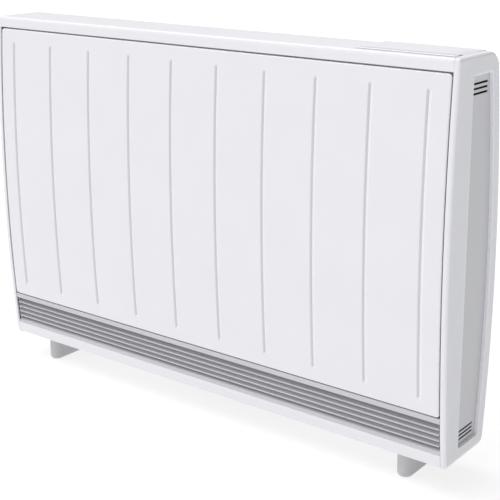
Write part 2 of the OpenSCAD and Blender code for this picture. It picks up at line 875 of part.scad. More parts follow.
module lining_box(a, b) {
    color("wheat") box(a, b);
}
module insulation_front() {
    lining_box([lining_x[0], lining_y[0], lining_z[0]], [lining_x[1], core_y[0] - 0.4, lining_z[1]]);
}
module insulation_back() {
    lining_box([lining_x[0], core_y[1] + 0.4, lining_z[0]], [lining_x[1], lining_y[1], lining_z[1]]);
}
module insulation_top() {
    lining_box([lining_x[0], core_y[0] - 0.2, core_z0 + 6 * row_h + 0.4],
        [lining_x[1], core_y[1] + 0.2, lining_z[1]]);
}
module insulation_bottom() {
    difference() {
        lining_box([lining_x[0], core_y[0] - 0.2, lining_z[0]],
            [lining_x[1], core_y[1] + 0.2, core_z0 - 0.4]);
        box([-hot_slot_x, hot_slot_y[0], lining_z[0] - cut], [hot_slot_x, hot_slot_y[1], core_z0 + cut]);
        box([-hot_slot_x, hot_slot_y[0], core_z0 - 15], [hot_slot_x, 100, core_z0 + cut]);
    }
}
module insulation_left() {
    lining_box([lining_x[0], core_y[0] - 0.2, core_z0 - 0.2],
        [core_x0 - 32, core_y[1] + 0.2, core_z0 + 6 * row_h + 0.2]);
}
module insulation_right() {
    difference() {
        lining_box([core_x1 + 0.6, core_y[0] - 0.2, core_z0 - 0.2],
            [lining_x[1], core_y[1] + 0.2, core_z0 + 6 * row_h + 0.2]);
        for (row = [1, 3, 5], y = rod_y)
            bar_x(core_x1, lining_x[1] + cut, y, core_z0 + row * row_h - 0.3, rod_r + 0.4);
        bar_x(core_x1, lining_x[1] + cut, sensor_y, sensor_z, sensor_r + 0.5);
    }
}

module core_tray() {
    lug_x = damper_half_l + 4;
    y1 = chassis_y1 - sheet_t - 0.3;
    color("silver") difference() {
        union() {
            box([lining_x[0], lining_y[0], core_tray_z], [lining_x[1], y1, lining_z[0] - 0.4]);
            for (x = [-lug_x - 3, lug_x])
                box([x, damper_y - 6, damper_z - 6], [x + 3, damper_y + 6, core_tray_z + 0.5]);
            for (x = core_leg_x)
                box([x, behind_grille_y, tray_top + 0.1], [x + sheet_t, y1, core_tray_z + 0.5]);
        }
        box([-hot_slot_x, hot_slot_y[0], core_tray_z - cut], [hot_slot_x, hot_slot_y[1], lining_z[0] + cut]);
        for (x = [-lug_x - 3, lug_x])
            bar_x(x - cut, x + 3 + cut, damper_y, damper_z, shaft_bore_r);
    }
}

// ---- Electrics ----

module electrics_plate() {
    color("silver") difference() {
        box([plate_x, 24.4, tray_top + 0.1], [plate_x + plate_t, chassis_y1 - sheet_t - 0.2, chassis_z1]);
        for (row = [1, 3, 5], y = rod_y)
            bar_x(plate_x - cut, plate_x + plate_t + cut, y, core_z0 + row * row_h - 0.3, rod_r + 0.6);
        bar_x(plate_x - cut, plate_x + plate_t + cut, sensor_y, sensor_z, sensor_r + 0.4);
        box([plate_x - cut, 22, tray_top - cut], [plate_x + plate_t + cut, behind_grille_y, behind_grille_z]);
    }
}
module power_board() {
    x0 = plate_x + plate_t + 0.1;
    color("green") box([x0 + 6, 40, 470], [x0 + 7.6, 125, 560]);
    color("white") for (y = [48, 117], z = [478, 552])
        bar_x(x0, x0 + 6, y, z, 3);
    color("black") for (z = [484, 508])
        box([x0 + 7.6, 50, z], [x0 + 23, 78, z + 18]);
    color("navy") bar_x(x0 + 7.6, x0 + 26, 102, 500, 9);
    color("gray") box([x0 + 7.6, 50, 536], [x0 + 15, 116, 546]);
}
module terminal_block() {
    x0 = plate_x + plate_t + 0.1;
    color("beige") difference() {
        box([x0, 60, 110], [x0 + 20, 128, 134]);
        for (i = [0:5]) {
            bar_x(x0 + 12, x0 + 20 + cut, 66.5 + i * 11, 127, 3);
            bar_x(x0 + 12, x0 + 20 + cut, 66.5 + i * 11, 117, 3);
        }
    }
}
module thermal_cutout() {
    x0 = plate_x + plate_t + 0.1;
    color("black") difference() {
        union() {
            bar_x(x0, x0 + 14, sensor_y, 612, 12);
            box([x0, sensor_y - 20, 606], [x0 + 1.5, sensor_y + 20, 618]);
        }
        bar_x(x0 + 6, x0 + 14 + cut, sensor_y, 612, 2.6);
    }
}
module cutout_reset_button() {
    x0 = plate_x + plate_t + 0.1;
    color("red") bar_x(x0 + 8, x0 + 17.5, sensor_y, 612, 2.5);
}
module core_sensor() {
    color("silver") {
        bar_x(core_x1 - 28, plate_x + plate_t + 5, sensor_y, sensor_z, sensor_r);
        bar_x(plate_x + plate_t + 5, plate_x + plate_t + 12, sensor_y, sensor_z, 4.5);
    }
}
module room_sensor() {
    color("white") box([side_in_x - 7, 78, 100.5], [side_in_x - 0.1, 104, 112]);
    color("white") box([side_in_x - 5, 86, 92], [side_in_x - 2, 90, 100.5]);
}
module wiring_loom() {
    // A bundle whose level rings climb from the terminals to the control bay
    r = 4;
    n = 8;
    route = [
        [plate_x + 12, 94, 134.1], [loom_x - 4, 96, 170], [loom_x, 110, 220], [loom_x, 128, 280],
        [loom_x, 130, 620], [loom_x, 118, 650], [loom_x, 84, 680], [loom_x, loom_y, 694],
        [loom_x, loom_y, board_z - 0.1]
    ];
    rings = [for (p = route, k = [0:n - 1]) p + r * [cos(k * 360 / n), sin(k * 360 / n), 0]];
    color("darkslategray") polyhedron(rings, ring_faces(n, len(route)));
}
module cable_glands() {
    y0 = back_panel_y;
    color("black") for (x = gland_x)
        difference() {
            union() {
                bar_y(x, y0 - 8, y0 + sheet_t + 0.2, gland_z, 7.8);
                bar_y(x, y0 + sheet_t + 0.1, y0 + sheet_t + 7, gland_z, 10.5);
                bar_y(x, y0 - 6, y0 - 1, gland_z, 10.5);
            }
            bar_y(x, y0 - 8 - cut, y0 + sheet_t + 7 + cut, gland_z, gland_bore_r);
        }
}

// ---- Fan and damper ----

module scroll_section() {
    wall = 1.2;
    difference() {
        translate([fan_y, fan_z]) circle(r = scroll_r + wall, $fn = 96);
        translate([fan_y, fan_z]) circle(r = scroll_r, $fn = 96);
        polygon([
            [fan_y, fan_z], [fan_y - 60, fan_z + 44], [fan_y - 80, fan_z], [fan_y - 60, fan_z - 60],
            [fan_y - 22, fan_z - 60]
        ]);
        polygon([
            [fan_y, fan_z], [fan_y + 4, fan_z - 60], [fan_y + 60, fan_z - 60], [fan_y + 60, fan_z - 12]
        ]);
    }
}
module fan_housing() {
    x1 = fan_plate_x + fan_plate_t + cut;
    mouth = [31, 79];
    heel = [84.5, 64.5];
    color("silver") difference() {
        union() {
            along_x(-fan_plate_x, fan_plate_x) scroll_section();
            for (x = [-fan_plate_x - fan_plate_t, fan_plate_x])
                box([x, 61, tray_top + 0.1], [x + fan_plate_t, 134, 132]);
            along_x(-fan_plate_x, fan_plate_x)
                polygon([mouth, heel, heel + [0, -1.2], mouth + [0, -1.2]]);
            for (x = [-fan_plate_x - fan_plate_t, fan_plate_x])
                along_x(x, x + fan_plate_t)
                    polygon([mouth + [0, -1.2], mouth + [0, 30], [61, 132], [70, 132], [70, 66]]);
        }
        bar_x(-x1, -fan_plate_x + cut, fan_y, fan_z, 6);
        bar_x(fan_plate_x - cut, x1, fan_y, fan_z, 6);
        for (z = boost_z)
            bar_x(-x1, x1, boost_y, z, boost_r + 0.1);
    }
}
module impeller_blade() {
    // A curved blade: an arc of 7 mm radius, 0.8 mm thick
    difference() {
        translate([impeller_r - 5.2, 4.2]) circle(r = 7, $fn = 32);
        translate([impeller_r - 5.2, 4.2]) circle(r = 6.2, $fn = 32);
        translate([impeller_r - 14, 2]) square(30);
        translate([impeller_r - 30, -20]) square([22, 40]);
        translate([impeller_r - 0.8, -20]) square([22, 40]);
    }
}
module impeller() {
    h = impeller_l / 2;
    hub = 2;
    color("lightsteelblue") translate([0, fan_y, fan_z]) {
        rotate([90, 0, 90]) translate([0, 0, -h + hub]) linear_extrude(2 * h - 2 * hub)
            for (i = [0:impeller_blades - 1])
                rotate(i * 360 / impeller_blades) impeller_blade();
        for (x = [-h, h - hub])
            bar_x(x, x + hub, 0, 0, impeller_r);
        translate([-1, 0, 0]) rotate([0, 90, 0]) difference() {
            cylinder(h = 2, r = impeller_r, $fn = 96);
            translate([0, 0, -cut]) cylinder(h = 2 + 2 * cut, r = impeller_r - 8.5, $fn = 96);
        }
        bar_x(-h - 12, -h + 0.1, 0, 0, shaft_r);
        bar_x(h - 0.1, h + 34, 0, 0, shaft_r);
    }
}
module fan_bearing() {
    x0 = -fan_plate_x - 5;
    color("goldenrod") difference() {
        union() {
            bar_x(x0, -fan_plate_x + 1, fan_y, fan_z, 5.95);
            bar_x(x0, x0 + 3.3, fan_y, fan_z, 9);
        }
        bar_x(x0 - cut, -fan_plate_x + 1 + cut, fan_y, fan_z, shaft_bore_r);
    }
}
module fan_motor() {
    x0 = fan_plate_x + fan_plate_t + 0.1;
    color("dimgray") difference() {
        union() {
            bar_x(x0, x0 + 34, fan_y, fan_z, 22);
            bar_x(x0 + 34, x0 + 40, fan_y, fan_z, 8);
            box([x0 + 6, fan_y - 14, tray_top + 0.1], [x0 + 28, fan_y + 14, fan_z]);
        }
        bar_x(x0 - cut, x0 + 34, fan_y, fan_z, shaft_bore_r);
    }
}
module damper_flap() {
    flap_z = damper_z + shaft_r;
    color("silver") {
        bar_x(-damper_half_l - 9, damper_half_l + 28, damper_y, damper_z, shaft_r);
        box([-damper_half_l, damper_tip_y, flap_z - 1.2], [damper_half_l, damper_y, flap_z]);
        box([-damper_half_l, damper_tip_y, flap_z - 4], [damper_half_l, damper_tip_y + 1.2, flap_z]);
    }
}
module damper_motor() {
    x0 = damper_half_l + 8;
    color("ivory") difference() {
        box([x0, damper_y - 15, 126], [x0 + 26, damper_y + 15, core_tray_z - 0.1]);
        bar_x(x0 - cut, x0 + 22, damper_y, damper_z, shaft_bore_r);
    }
}
module boost_element() {
    x1 = fan_plate_x + fan_plate_t + 10;
    mid = (boost_z[0] + boost_z[1]) / 2;
    color("slategray") {
        for (z = boost_z) {
            bar_x(-x1, x1, boost_y, z, boost_r);
            bar_x(x1, x1 + 10, boost_y, z, 1.5);
        }
        translate([-x1, boost_y, mid]) rotate([90, 0, 0]) rotate([0, 0, 90])
            rotate_extrude(angle = 180, $fn = round_fn)
                translate([(boost_z[1] - boost_z[0]) / 2, 0]) circle(r = boost_r, $fn = 24);
    }
}

seat() front_panel();
seat() inner_front_panel();
seat() top_casing();
seat() left_end_cap();
seat() right_end_cap();
seat() left_side_plate();
seat() right_side_plate();
seat() left_chassis_side();
seat() right_chassis_side();
seat() back_panel();
seat() base_tray();
seat() bottom_rail();
seat() grille_frame();
seat() louvre_blades();
seat() left_foot();
seat() right_foot();
seat() foot_screws();
seat() left_wall_bracket();
seat() right_wall_bracket();
seat() case_screws();
seat() control_lid();
seat() lid_hinge_pins();
seat() control_tray();
seat() control_fascia();
seat() display_window();
seat() control_board();
seat() button_menu();
seat() button_back();
seat() button_down();
seat() button_up();
seat() button_boost();
seat() bricks_lower();
seat() bricks_middle();
seat() bricks_upper();
seat() heating_element_lower();
seat() heating_element_middle();
seat() heating_element_upper();
seat() insulation_front();
seat() insulation_back();
seat() insulation_top();
seat() insulation_bottom();
seat() insulation_left();
seat() insulation_right();
seat() core_tray();
seat() electrics_plate();
seat() power_board();
seat() terminal_block();
seat() thermal_cutout();
seat() cutout_reset_button();
seat() fan_housing();
seat() impeller();
seat() fan_motor();
seat() fan_bearing();
seat() damper_flap();
seat() damper_motor();
seat() boost_element();
seat() cable_glands();
seat() wiring_loom();
seat() core_sensor();
seat() room_sensor();
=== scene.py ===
"""Storage heater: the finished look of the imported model.

Shapes are worked out in millimetres in the heater's own coordinates: x runs across it, y runs
back from the foremost line of the bowed front, and z runs up from the floor. Solid.mesh()
turns them into metres in the frame's coordinates.
"""

import json
import logging
import math
from dataclasses import dataclass
from enum import Enum
from typing import Callable, Sequence

import bmesh
import bpy
import numpy as np
from mathutils import Matrix, Vector

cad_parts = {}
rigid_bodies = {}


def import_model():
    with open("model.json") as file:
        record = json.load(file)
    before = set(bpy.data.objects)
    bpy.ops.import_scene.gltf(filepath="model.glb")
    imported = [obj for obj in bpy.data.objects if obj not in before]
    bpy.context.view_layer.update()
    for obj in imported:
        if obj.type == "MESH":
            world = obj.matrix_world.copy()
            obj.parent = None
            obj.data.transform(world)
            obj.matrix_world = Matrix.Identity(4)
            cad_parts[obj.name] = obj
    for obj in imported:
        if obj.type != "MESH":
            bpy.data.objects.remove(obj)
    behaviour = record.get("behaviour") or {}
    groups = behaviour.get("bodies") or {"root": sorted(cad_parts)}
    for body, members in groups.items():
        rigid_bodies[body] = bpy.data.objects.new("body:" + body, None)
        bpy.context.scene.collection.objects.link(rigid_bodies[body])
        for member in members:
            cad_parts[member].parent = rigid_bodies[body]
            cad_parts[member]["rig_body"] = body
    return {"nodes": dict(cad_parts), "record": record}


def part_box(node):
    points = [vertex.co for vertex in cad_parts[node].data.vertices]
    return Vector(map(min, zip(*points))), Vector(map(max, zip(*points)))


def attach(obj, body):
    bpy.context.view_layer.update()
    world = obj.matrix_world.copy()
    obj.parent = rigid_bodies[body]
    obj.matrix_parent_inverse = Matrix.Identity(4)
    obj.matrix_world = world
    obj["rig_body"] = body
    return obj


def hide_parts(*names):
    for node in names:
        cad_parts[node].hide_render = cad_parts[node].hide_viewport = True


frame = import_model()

log = logging.getLogger("storage_heater")

MM = 0.001
QUARTER = math.pi / 2               # a quarter turn in radians
DOUBLES = 4e-6                      # metres: points nearer than this are merged
BEVEL_FROM = math.radians(50.0)     # an edge that turns further than this is rounded off
FRONT_LINE_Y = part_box("front_panel")[0][1]                          # metres
CAP_POSTS = ((40, 100), (40, 650), (138.5, 100), (138.5, 640))      # y and z in each end cap

Pair = tuple[float, float]
Triple = tuple[float, float, float]
Colour = Triple
Array = np.ndarray


# ---- Shader values ----


def operators(operation: str) -> tuple[Callable, Callable]:
    """Makes a Signal's method for one Math operation, and the reflected one.

    Args:
        operation: The Math node's operation.

    Returns:
        The method with the Signal as its first operand, and the one with it as its second.
    """
    def forward(self: "Signal", other: "Value") -> "Signal":
        """Works on this value and another."""
        return self.maths(operation, self, other)

    def reflected(self: "Signal", other: "Value") -> "Signal":
        """Works on another value and this one."""
        return self.maths(operation, other, self)

    return forward, reflected


class Signal:
    """One value inside a material. Arithmetic on it adds the Math nodes that work it out."""

    __add__, __radd__ = operators("ADD")
    __sub__, __rsub__ = operators("SUBTRACT")
    __mul__, __rmul__ = operators("MULTIPLY")
    __truediv__, __rtruediv__ = operators("DIVIDE")
    __gt__, __lt__ = operators("GREATER_THAN")

    def __init__(self, graph: "Graph", socket: bpy.types.NodeSocket) -> None:
        """Keeps the graph and the output socket that carries the value."""
        self.graph = graph
        self.socket = socket

    def maths(self, operation: str, first: "Value", second: "Value" = 0.0) -> "Signal":
        """Adds one Math node with two operands."""
        return self.graph.add("ShaderNodeMath", {"operation": operation}, {0: first, 1: second})

    def __abs__(self) -> "Signal":
        """This value without its sign."""
        return self.maths("ABSOLUTE", self)

    def sine(self) -> "Signal":
        """The sine of this value."""
        return self.maths("SINE", self)

    def ramp(self, low: float, high: float) -> "Signal":
        """A smooth step from 0 at low to 1 at high."""
        settings = {"interpolation_type": "SMOOTHSTEP"}
        return self.graph.add("ShaderNodeMapRange", settings, {0: self, 1: low, 2: high})


Value = Signal | float


class Graph:
    """The node tree of a material or of the world, with its shader at its end."""

    def __init__(self, owner: bpy.types.Material | bpy.types.World) -> None:
        """Empties the owner's tree and gives it a shader and an output."""
        owner.use_nodes = True
        self.owner = owner
        self.tree = owner.node_tree
        self.tree.nodes.clear()
        lit = isinstance(owner, bpy.types.World)
        kinds = (("ShaderNodeOutputWorld", "ShaderNodeBackground") if lit
                 else ("ShaderNodeOutputMaterial", "ShaderNodeBsdfPrincipled"))
        output, self.shader = (self.tree.nodes.new(kind) for kind in kinds)
        self.tree.links.new(self.shader.outputs[0], output.inputs["Surface"])

    def add(self, kind: str, settings: dict | None = None, inputs: dict | None = None,
            output: int | str = 0) -> Signal:
        """Adds one node.

        Args:
            kind: The node's type.
            settings: Its properties, set before its sockets.
            inputs: A number, colour, vector or Signal for each input socket.
            output: The output socket that is wanted.

        Returns:
            That output as a Signal.
        """
        node = self.tree.nodes.new(kind)
        for key, value in (settings or {}).items():
            setattr(node, key, value)
        for key, value in (inputs or {}).items():
            self.feed(node.inputs[key], value)
        return Signal(self, node.outputs[output])

    def feed(self, socket: bpy.types.NodeSocket, value: object) -> None:
        """Links a Signal to an input socket, or sets the socket's own value.

        Args:
            socket: The input socket.
            value: A Signal, number, colour or vector.
        """
        if isinstance(value, Signal):
            self.tree.links.new(value.socket, socket)
        elif isinstance(value, tuple) and len(value) == 3 and socket.type == "RGBA":
            socket.default_value = (*value, 1.0)
        else:
            socket.default_value = value

    def surface(self, **values: object) -> None:
        """Feeds the shader's sockets, named in lower case with underscores."""
        for key, value in values.items():
            self.feed(self.shader.inputs[key.replace("_", " ").title()], value)

    def place(self) -> Signal:
        """The point on the piece, in metres."""
        return self.add("ShaderNodeTexCoord", output="Object")

    def axis(self, name: str) -> Signal:
        """One coordinate of the point on the piece, "X", "Y" or "Z"."""
        return self.add("ShaderNodeSeparateXYZ", inputs={0: self.place()}, output=name)

    def stretched(self, scale: Triple) -> Signal:
        """The point on the piece with its axes scaled apart."""
        settings = {"operation": "MULTIPLY"}
        return self.add("ShaderNodeVectorMath", settings, {0: self.place(), 1: scale})

    def noise(self, size: float, detail: float = 2.0, roughness: float = 0.5,
              at: Signal | None = None) -> Signal:
        """Smooth noise from 0 to 1.

        Args:
            size: The distance between its lumps, in millimetres.
            detail: How many finer layers it has.
            roughness: How strong the finer layers are.
            at: The point to read it at, or None for the point on the piece.

        Returns:
            The noise as a value.
        """
        inputs = {"Vector": at or self.place(), "Scale": 1 / (size * MM), "Detail": detail,
                  "Roughness": roughness}
        return self.add("ShaderNodeTexNoise", {}, inputs)

    def cells(self, size: float, output: str = "Distance", feature: str = "F1") -> Signal:
        """Cells of a given size in millimetres: the distance in them, or a colour of each."""
        inputs = {"Vector": self.place(), "Scale": 1 / (size * MM)}
        return self.add("ShaderNodeTexVoronoi", {"feature": feature}, inputs, output)

    def level(self, colour: Signal) -> Signal:
        """One number from a colour."""
        return self.add("ShaderNodeSeparateColor", inputs={0: colour}, output=0)

    def mix(self, share: Value, first: object, second: object) -> Signal:
        """A colour between two colours.

        Args:
            share: How much of the second colour there is, from 0 to 1.
            first: The first colour, as a Signal or three numbers.
            second: The second colour, as a Signal or three numbers.

        Returns:
            The mixed colour.
        """
        settings = {"data_type": "RGBA", "clamp_factor": True}
        return self.add("ShaderNodeMix", settings, {0: share, 6: first, 7: second}, 2)

    def worn_and_lit(self) -> Signal:
        """Wear and painted highlight up to 1 on folds and noses; painted shade below 0."""
        return self.add("ShaderNodeAttribute", {"attribute_name": "wear"}, output="Fac")

    def painted_shade(self) -> Signal:
        """How much painted shade there is: the wear level with its sign turned round."""
        return 0 - self.worn_and_lit()

    def bump(self, height: Signal, depth: float) -> Signal:
        """A normal tipped by a height from 0 to 1, where 1 stands for a depth in millimetres."""
        return self.add("ShaderNodeBump", {}, {"Distance": depth * MM, "Height": height})


def shade(colour: Colour, factor: float) -> Colour:
    """A colour made darker or lighter by a factor."""
    red, green, blue = (min(channel * factor, 1.0) for channel in colour)
    return red, green, blue


# ---- Finishes ----


@dataclass(frozen=True)
class Finish:
    """What a surface is made of. Each kind of finish fills in dress()."""

    colour: Colour
    roughness: float = 0.4

    def dress(self, graph: Graph) -> None:
        """Feeds the shader of a material."""
        raise NotImplementedError

    def material(self, name: str) -> bpy.types.Material:
        """Makes a material of that name."""
        graph = Graph(bpy.data.materials.new(name))
        self.dress(graph)
        return graph.owner


@dataclass(frozen=True)
class PowderCoat(Finish):
    """Stoved powder paint on sheet steel: fine orange peel, with wear and a painted highlight
    along the folds, and painted shade where the wear level is below 0.
    """

    peel: float = 1.4
    peel_depth: float = 0.012
    drift: float = 0.985
    # The lilac grey that the painted shade darkens towards.
    painted_shade_tone: Colour = (0.45, 0.45, 0.53)

    def dress(self, graph: Graph) -> None:
        """Mixes the drift of the colour, the painted highlight on the folds, the painted shade and
        the peel.
        """
        worn_and_lit = graph.worn_and_lit() * graph.noise(3.0, 4.0, 0.6).ramp(0.3, 0.6)
        tint = graph.mix(graph.noise(90.0, 3.0).ramp(0.3, 0.7), self.colour,
                         shade(self.colour, self.drift))
        specks = graph.noise(0.7, 1.0).ramp(0.72, 0.8)
        tint = graph.mix(specks * 0.12, tint, shade(self.colour, 0.86))
        # Painted highlight: folds, crease, lips and groove slopes are lightened past the paint's
        # own colour, partly as wear.
        rubbed_and_lit = graph.mix(worn_and_lit * 0.8, tint, shade(self.colour, 1.16))
        # Painted shade: where the wear level is below 0 the colour goes to the lilac grey.
        rubbed_and_lit = graph.mix(graph.painted_shade(), rubbed_and_lit, self.painted_shade_tone)
        peel = graph.noise(self.peel, 2.0, 0.45)
        rough = self.roughness + (graph.noise(14.0, 3.0) - 0.5) * 0.08 - worn_and_lit * 0.08
        graph.surface(base_color=rubbed_and_lit, roughness=rough,
                      normal=graph.bump(peel, self.peel_depth))


@dataclass(frozen=True)
class Moulding(Finish):
    """Injection-moulded plastic with a fine spark-eroded grain, a painted highlight on its worn
    edges, and painted shade where the wear level is below 0.
    """

    grain: float = 0.55
    grain_depth: float = 0.01
    dust: float = 0.0
    # How far the painted shade darkens the colour.
    painted_shade_tone: float = 0.6

    def dress(self, graph: Graph) -> None:
        """Mixes the flow of the plastic, the painted highlight, the painted shade, the dust and
        the grain.
        """
        flow = graph.noise(60.0, 2.0, at=graph.stretched((0.5, 1.0, 1.6))).ramp(0.3, 0.7)
        tint = graph.mix(flow, self.colour, shade(self.colour, 0.98))
        # Painted highlight on worn edges, noses, the lid's bead and the window lip.
        tint = graph.mix(graph.worn_and_lit() * 0.8, tint, shade(self.colour, 1.12))
        # Painted shade on the lid's valley and front edge.
        tint = graph.mix(graph.painted_shade(), tint, shade(self.colour, self.painted_shade_tone))
        if self.dust:
            dust_and_shade = graph.noise(9.0, 4.0, 0.65).ramp(0.45, 0.8)
            tint = graph.mix(dust_and_shade * self.dust, tint, (0.42, 0.41, 0.4))
        grain = graph.noise(self.grain, 2.0, 0.6) + graph.cells(self.grain * 2.2) * 0.5
        rough = self.roughness + (graph.noise(20.0, 3.0) - 0.5) * 0.07 - graph.worn_and_lit() * 0.06
        graph.surface(base_color=tint, roughness=rough,
                      normal=graph.bump(grain, self.grain_depth))


@dataclass(frozen=True)
class Galvanised(Finish):
    """Zinc-coated sheet with its spangle and faint rolling marks."""

    spangle: float = 9.0

    def dress(self, graph: Graph) -> None:
        """Gives each crystal its own brightness and roughness."""
        crystal = graph.level(graph.cells(self.spangle, "Color"))
        border = 1 - graph.cells(self.spangle, feature="DISTANCE_TO_EDGE").ramp(0.0, 0.05)
        rolled = graph.noise(1.2, 2.0, at=graph.stretched((0.05, 1.0, 1.0)))
        tint = graph.mix(crystal, shade(self.colour, 0.86), shade(self.colour, 1.1))
        tint = graph.mix(border * 0.3, tint, shade(self.colour, 0.75))
        rough = self.roughness + crystal * 0.14 + rolled * 0.06
        graph.surface(base_color=tint, roughness=rough, metallic=0.85,
                      normal=graph.bump(rolled + crystal * 0.4, 0.012))


@dataclass(frozen=True)
class Metal(Finish):
    """Turned, drawn or rolled metal with fine lines and small stains."""

    lines: Triple = (0.08, 1.0, 1.0)
    line_size: float = 0.5
    stain: Colour = (0.2, 0.17, 0.14)
    stained: float = 0.15

    def dress(self, graph: Graph) -> None:
        """Lays the fine lines and the stains over the metal."""
        lines = graph.noise(self.line_size, 2.0, at=graph.stretched(self.lines))
        patches = graph.noise(12.0, 4.0, 0.6).ramp(0.5, 0.8)
        tint = graph.mix(lines * 0.4, self.colour, shade(self.colour, 0.8))
        tint = graph.mix(patches * self.stained, tint, self.stain)
        rough = self.roughness + lines * 0.1 + patches * 0.12
        graph.surface(base_color=tint, roughness=rough, metallic=0.95,
                      normal=graph.bump(lines, 0.01))


@dataclass(frozen=True)
class HeatTinted(Finish):
    """A heating rod's steel sheath: straw and blue bands under a grey scale."""

    def dress(self, graph: Graph) -> None:
        """Runs the heat colours along the rod."""
        along = graph.axis("X") * 9.0 + graph.noise(40.0, 3.0) * 1.5
        wave = along.sine() * 0.5 + 0.5
        heat = graph.mix(wave, (0.3, 0.22, 0.15), (0.16, 0.18, 0.26))
        scale = graph.noise(2.0, 5.0, 0.7).ramp(0.4, 0.65)
        graph.surface(base_color=graph.mix(scale, heat, self.colour),
                      roughness=self.roughness + scale * 0.25, metallic=0.8,
                      normal=graph.bump(scale, 0.05))


@dataclass(frozen=True)
class FiredBrick(Finish):
    """Dense iron-ore brick: dark, gritty, with pale grains and small pits."""

    def dress(self, graph: Graph) -> None:
        """Scatters grains and pits through the fired body."""
        body = graph.noise(18.0, 6.0, 0.65)
        grains = 1 - graph.cells(2.6).ramp(0.15, 0.32)
        pits = graph.noise(1.8, 3.0, 0.7).ramp(0.62, 0.75)
        tint = graph.mix(body.ramp(0.3, 0.7), shade(self.colour, 0.7), shade(self.colour, 1.3))
        tint = graph.mix(grains * 0.35, tint, (0.3, 0.24, 0.2))
        tint = graph.mix(pits * 0.8, tint, shade(self.colour, 0.35))
        graph.surface(base_color=tint, roughness=self.roughness - grains * 0.15,
                      normal=graph.bump(grains - pits + body * 2.0, 0.25))


@dataclass(frozen=True)
class FibreBoard(Finish):
    """Pressed mineral-fibre insulation: a matted, chalky face with loose fibres."""

    def dress(self, graph: Graph) -> None:
        """Mats fibres that lie in two directions."""
        along = graph.noise(1.6, 4.0, 0.7, graph.stretched((0.12, 1.0, 1.0)))
        across = graph.noise(1.6, 4.0, 0.7, graph.stretched((1.0, 1.0, 0.12)))
        mat = along * 0.5 + across * 0.5
        tint = graph.mix(mat.ramp(0.35, 0.65), shade(self.colour, 0.82), self.colour)
        tint = graph.mix(graph.noise(35.0, 3.0).ramp(0.5, 0.75) * 0.3, tint, (0.5, 0.4, 0.26))
        graph.surface(base_color=tint, roughness=0.93, normal=graph.bump(mat, 0.5))


@dataclass(frozen=True)
class CircuitBoard(Finish):
    """A circuit board: lacquer over copper tracks, with tinned pads and dark components.

    The components are all that lies past face, a place on face_axis in metres.
    """

    face_axis: str = "Z"
    face: float = 0.0
    component: Colour = (0.03, 0.03, 0.032)

    def dress(self, graph: Graph) -> None:
        """Draws tracks and pads on the board, and paints what stands off it dark."""
        inputs = {"Vector": graph.place(), "Scale": 1 / (4.0 * MM), "Randomness": 0.15}
        settings = {"feature": "F1", "distance": "CHEBYCHEV"}
        grid = graph.add("ShaderNodeTexVoronoi", settings, inputs)
        tracks = 1 - abs(grid - 0.38).ramp(0.04, 0.1)
        pads = 1 - grid.ramp(0.1, 0.16)
        tint = graph.mix(tracks * 0.6, self.colour, shade(self.colour, 1.9))
        tint = graph.mix(pads, tint, (0.62, 0.6, 0.56))
        standing = graph.axis(self.face_axis) > self.face
        tint = graph.mix(standing, tint, self.component)
        graph.surface(base_color=tint, roughness=self.roughness + pads * 0.1,
                      metallic=pads * 0.8 * (1 - standing),
                      normal=graph.bump(tracks + pads, 0.03))


@dataclass(frozen=True)
class DisplayGlass(Finish):
    """A dark display window: clear gloss over a black border and a grey-green field."""

    centre: Triple = (0.0, 0.0, 0.0)
    field_half: Pair = (26.0, 10.5)

    def dress(self, graph: Graph) -> None:
        """Leaves a border round the field, with faint rows in it and a smear on the glass."""
        across = abs(graph.axis("X") - self.centre[0]) / MM
        back = abs(graph.axis("Y") - self.centre[1]) / MM
        border = 1 - (1 - across.ramp(self.field_half[0] - 0.3, self.field_half[0])) * (
            1 - back.ramp(self.field_half[1] - 0.3, self.field_half[1]))
        rows = graph.noise(0.5, 0.0, at=graph.stretched((0.02, 1.0, 1.0)))
        lit = graph.mix(rows * 0.4, (0.085, 0.1, 0.085), (0.06, 0.07, 0.062))
        smear = graph.noise(7.0, 4.0, 0.6).ramp(0.5, 0.85)
        graph.surface(base_color=graph.mix(border, lit, self.colour),
                      roughness=self.roughness + smear * 0.1, coat_weight=0.6,
                      normal=graph.bump(smear, 0.003))


@dataclass(frozen=True)
class Sleeving(Finish):
    """The woven sleeve round a bundle of wires."""

    pitch: float = 2.4

    def dress(self, graph: Graph) -> None:
        """Crosses two sets of slanted threads."""
        turns = 2 * math.pi / (self.pitch * MM)
        first = (graph.axis("Z") + graph.axis("X")) * turns
        second = (graph.axis("Z") - graph.axis("X")) * turns
        weave = first.sine() * second.sine() * 0.5 + 0.5
        tint = graph.mix(weave, shade(self.colour, 0.5), shade(self.colour, 1.6))
        graph.surface(base_color=tint, roughness=self.roughness,
                      normal=graph.bump(weave, 0.25))


# ---- Shapes ----


def line(start: Sequence[float], end: Sequence[float], count: int) -> Array:
    """Points evenly along a straight line, without its end.

    Args:
        start: The first point.
        end: The point the line runs to.
        count: The number of points.

    Returns:
        An array of count points.
    """
    share = np.linspace(0.0, 1.0, count, endpoint=False)[:, None]
    return np.asarray(start) * (1 - share) + np.asarray(end) * share


def arc(centre: Sequence[float], radius: float, start: float, end: float, count: int) -> Array:
    """Points on a circle: centre + radius * (cos a, sin a), both ends included.

    Args:
        centre: The circle's centre.
        radius: Its radius.
        start: The first angle in degrees.
        end: The last angle in degrees.
        count: The number of points.

    Returns:
        An array of count points.
    """
    angle = np.radians(np.linspace(start, end, count))
    return np.asarray(centre) + radius * np.column_stack([np.cos(angle), np.sin(angle)])


def spaced(start: float, end: float, step: float) -> Array:
    """Evenly spaced values from start to end, no further apart than step."""
    return np.linspace(start, end, max(2, math.ceil(abs(end - start) / step) + 1))


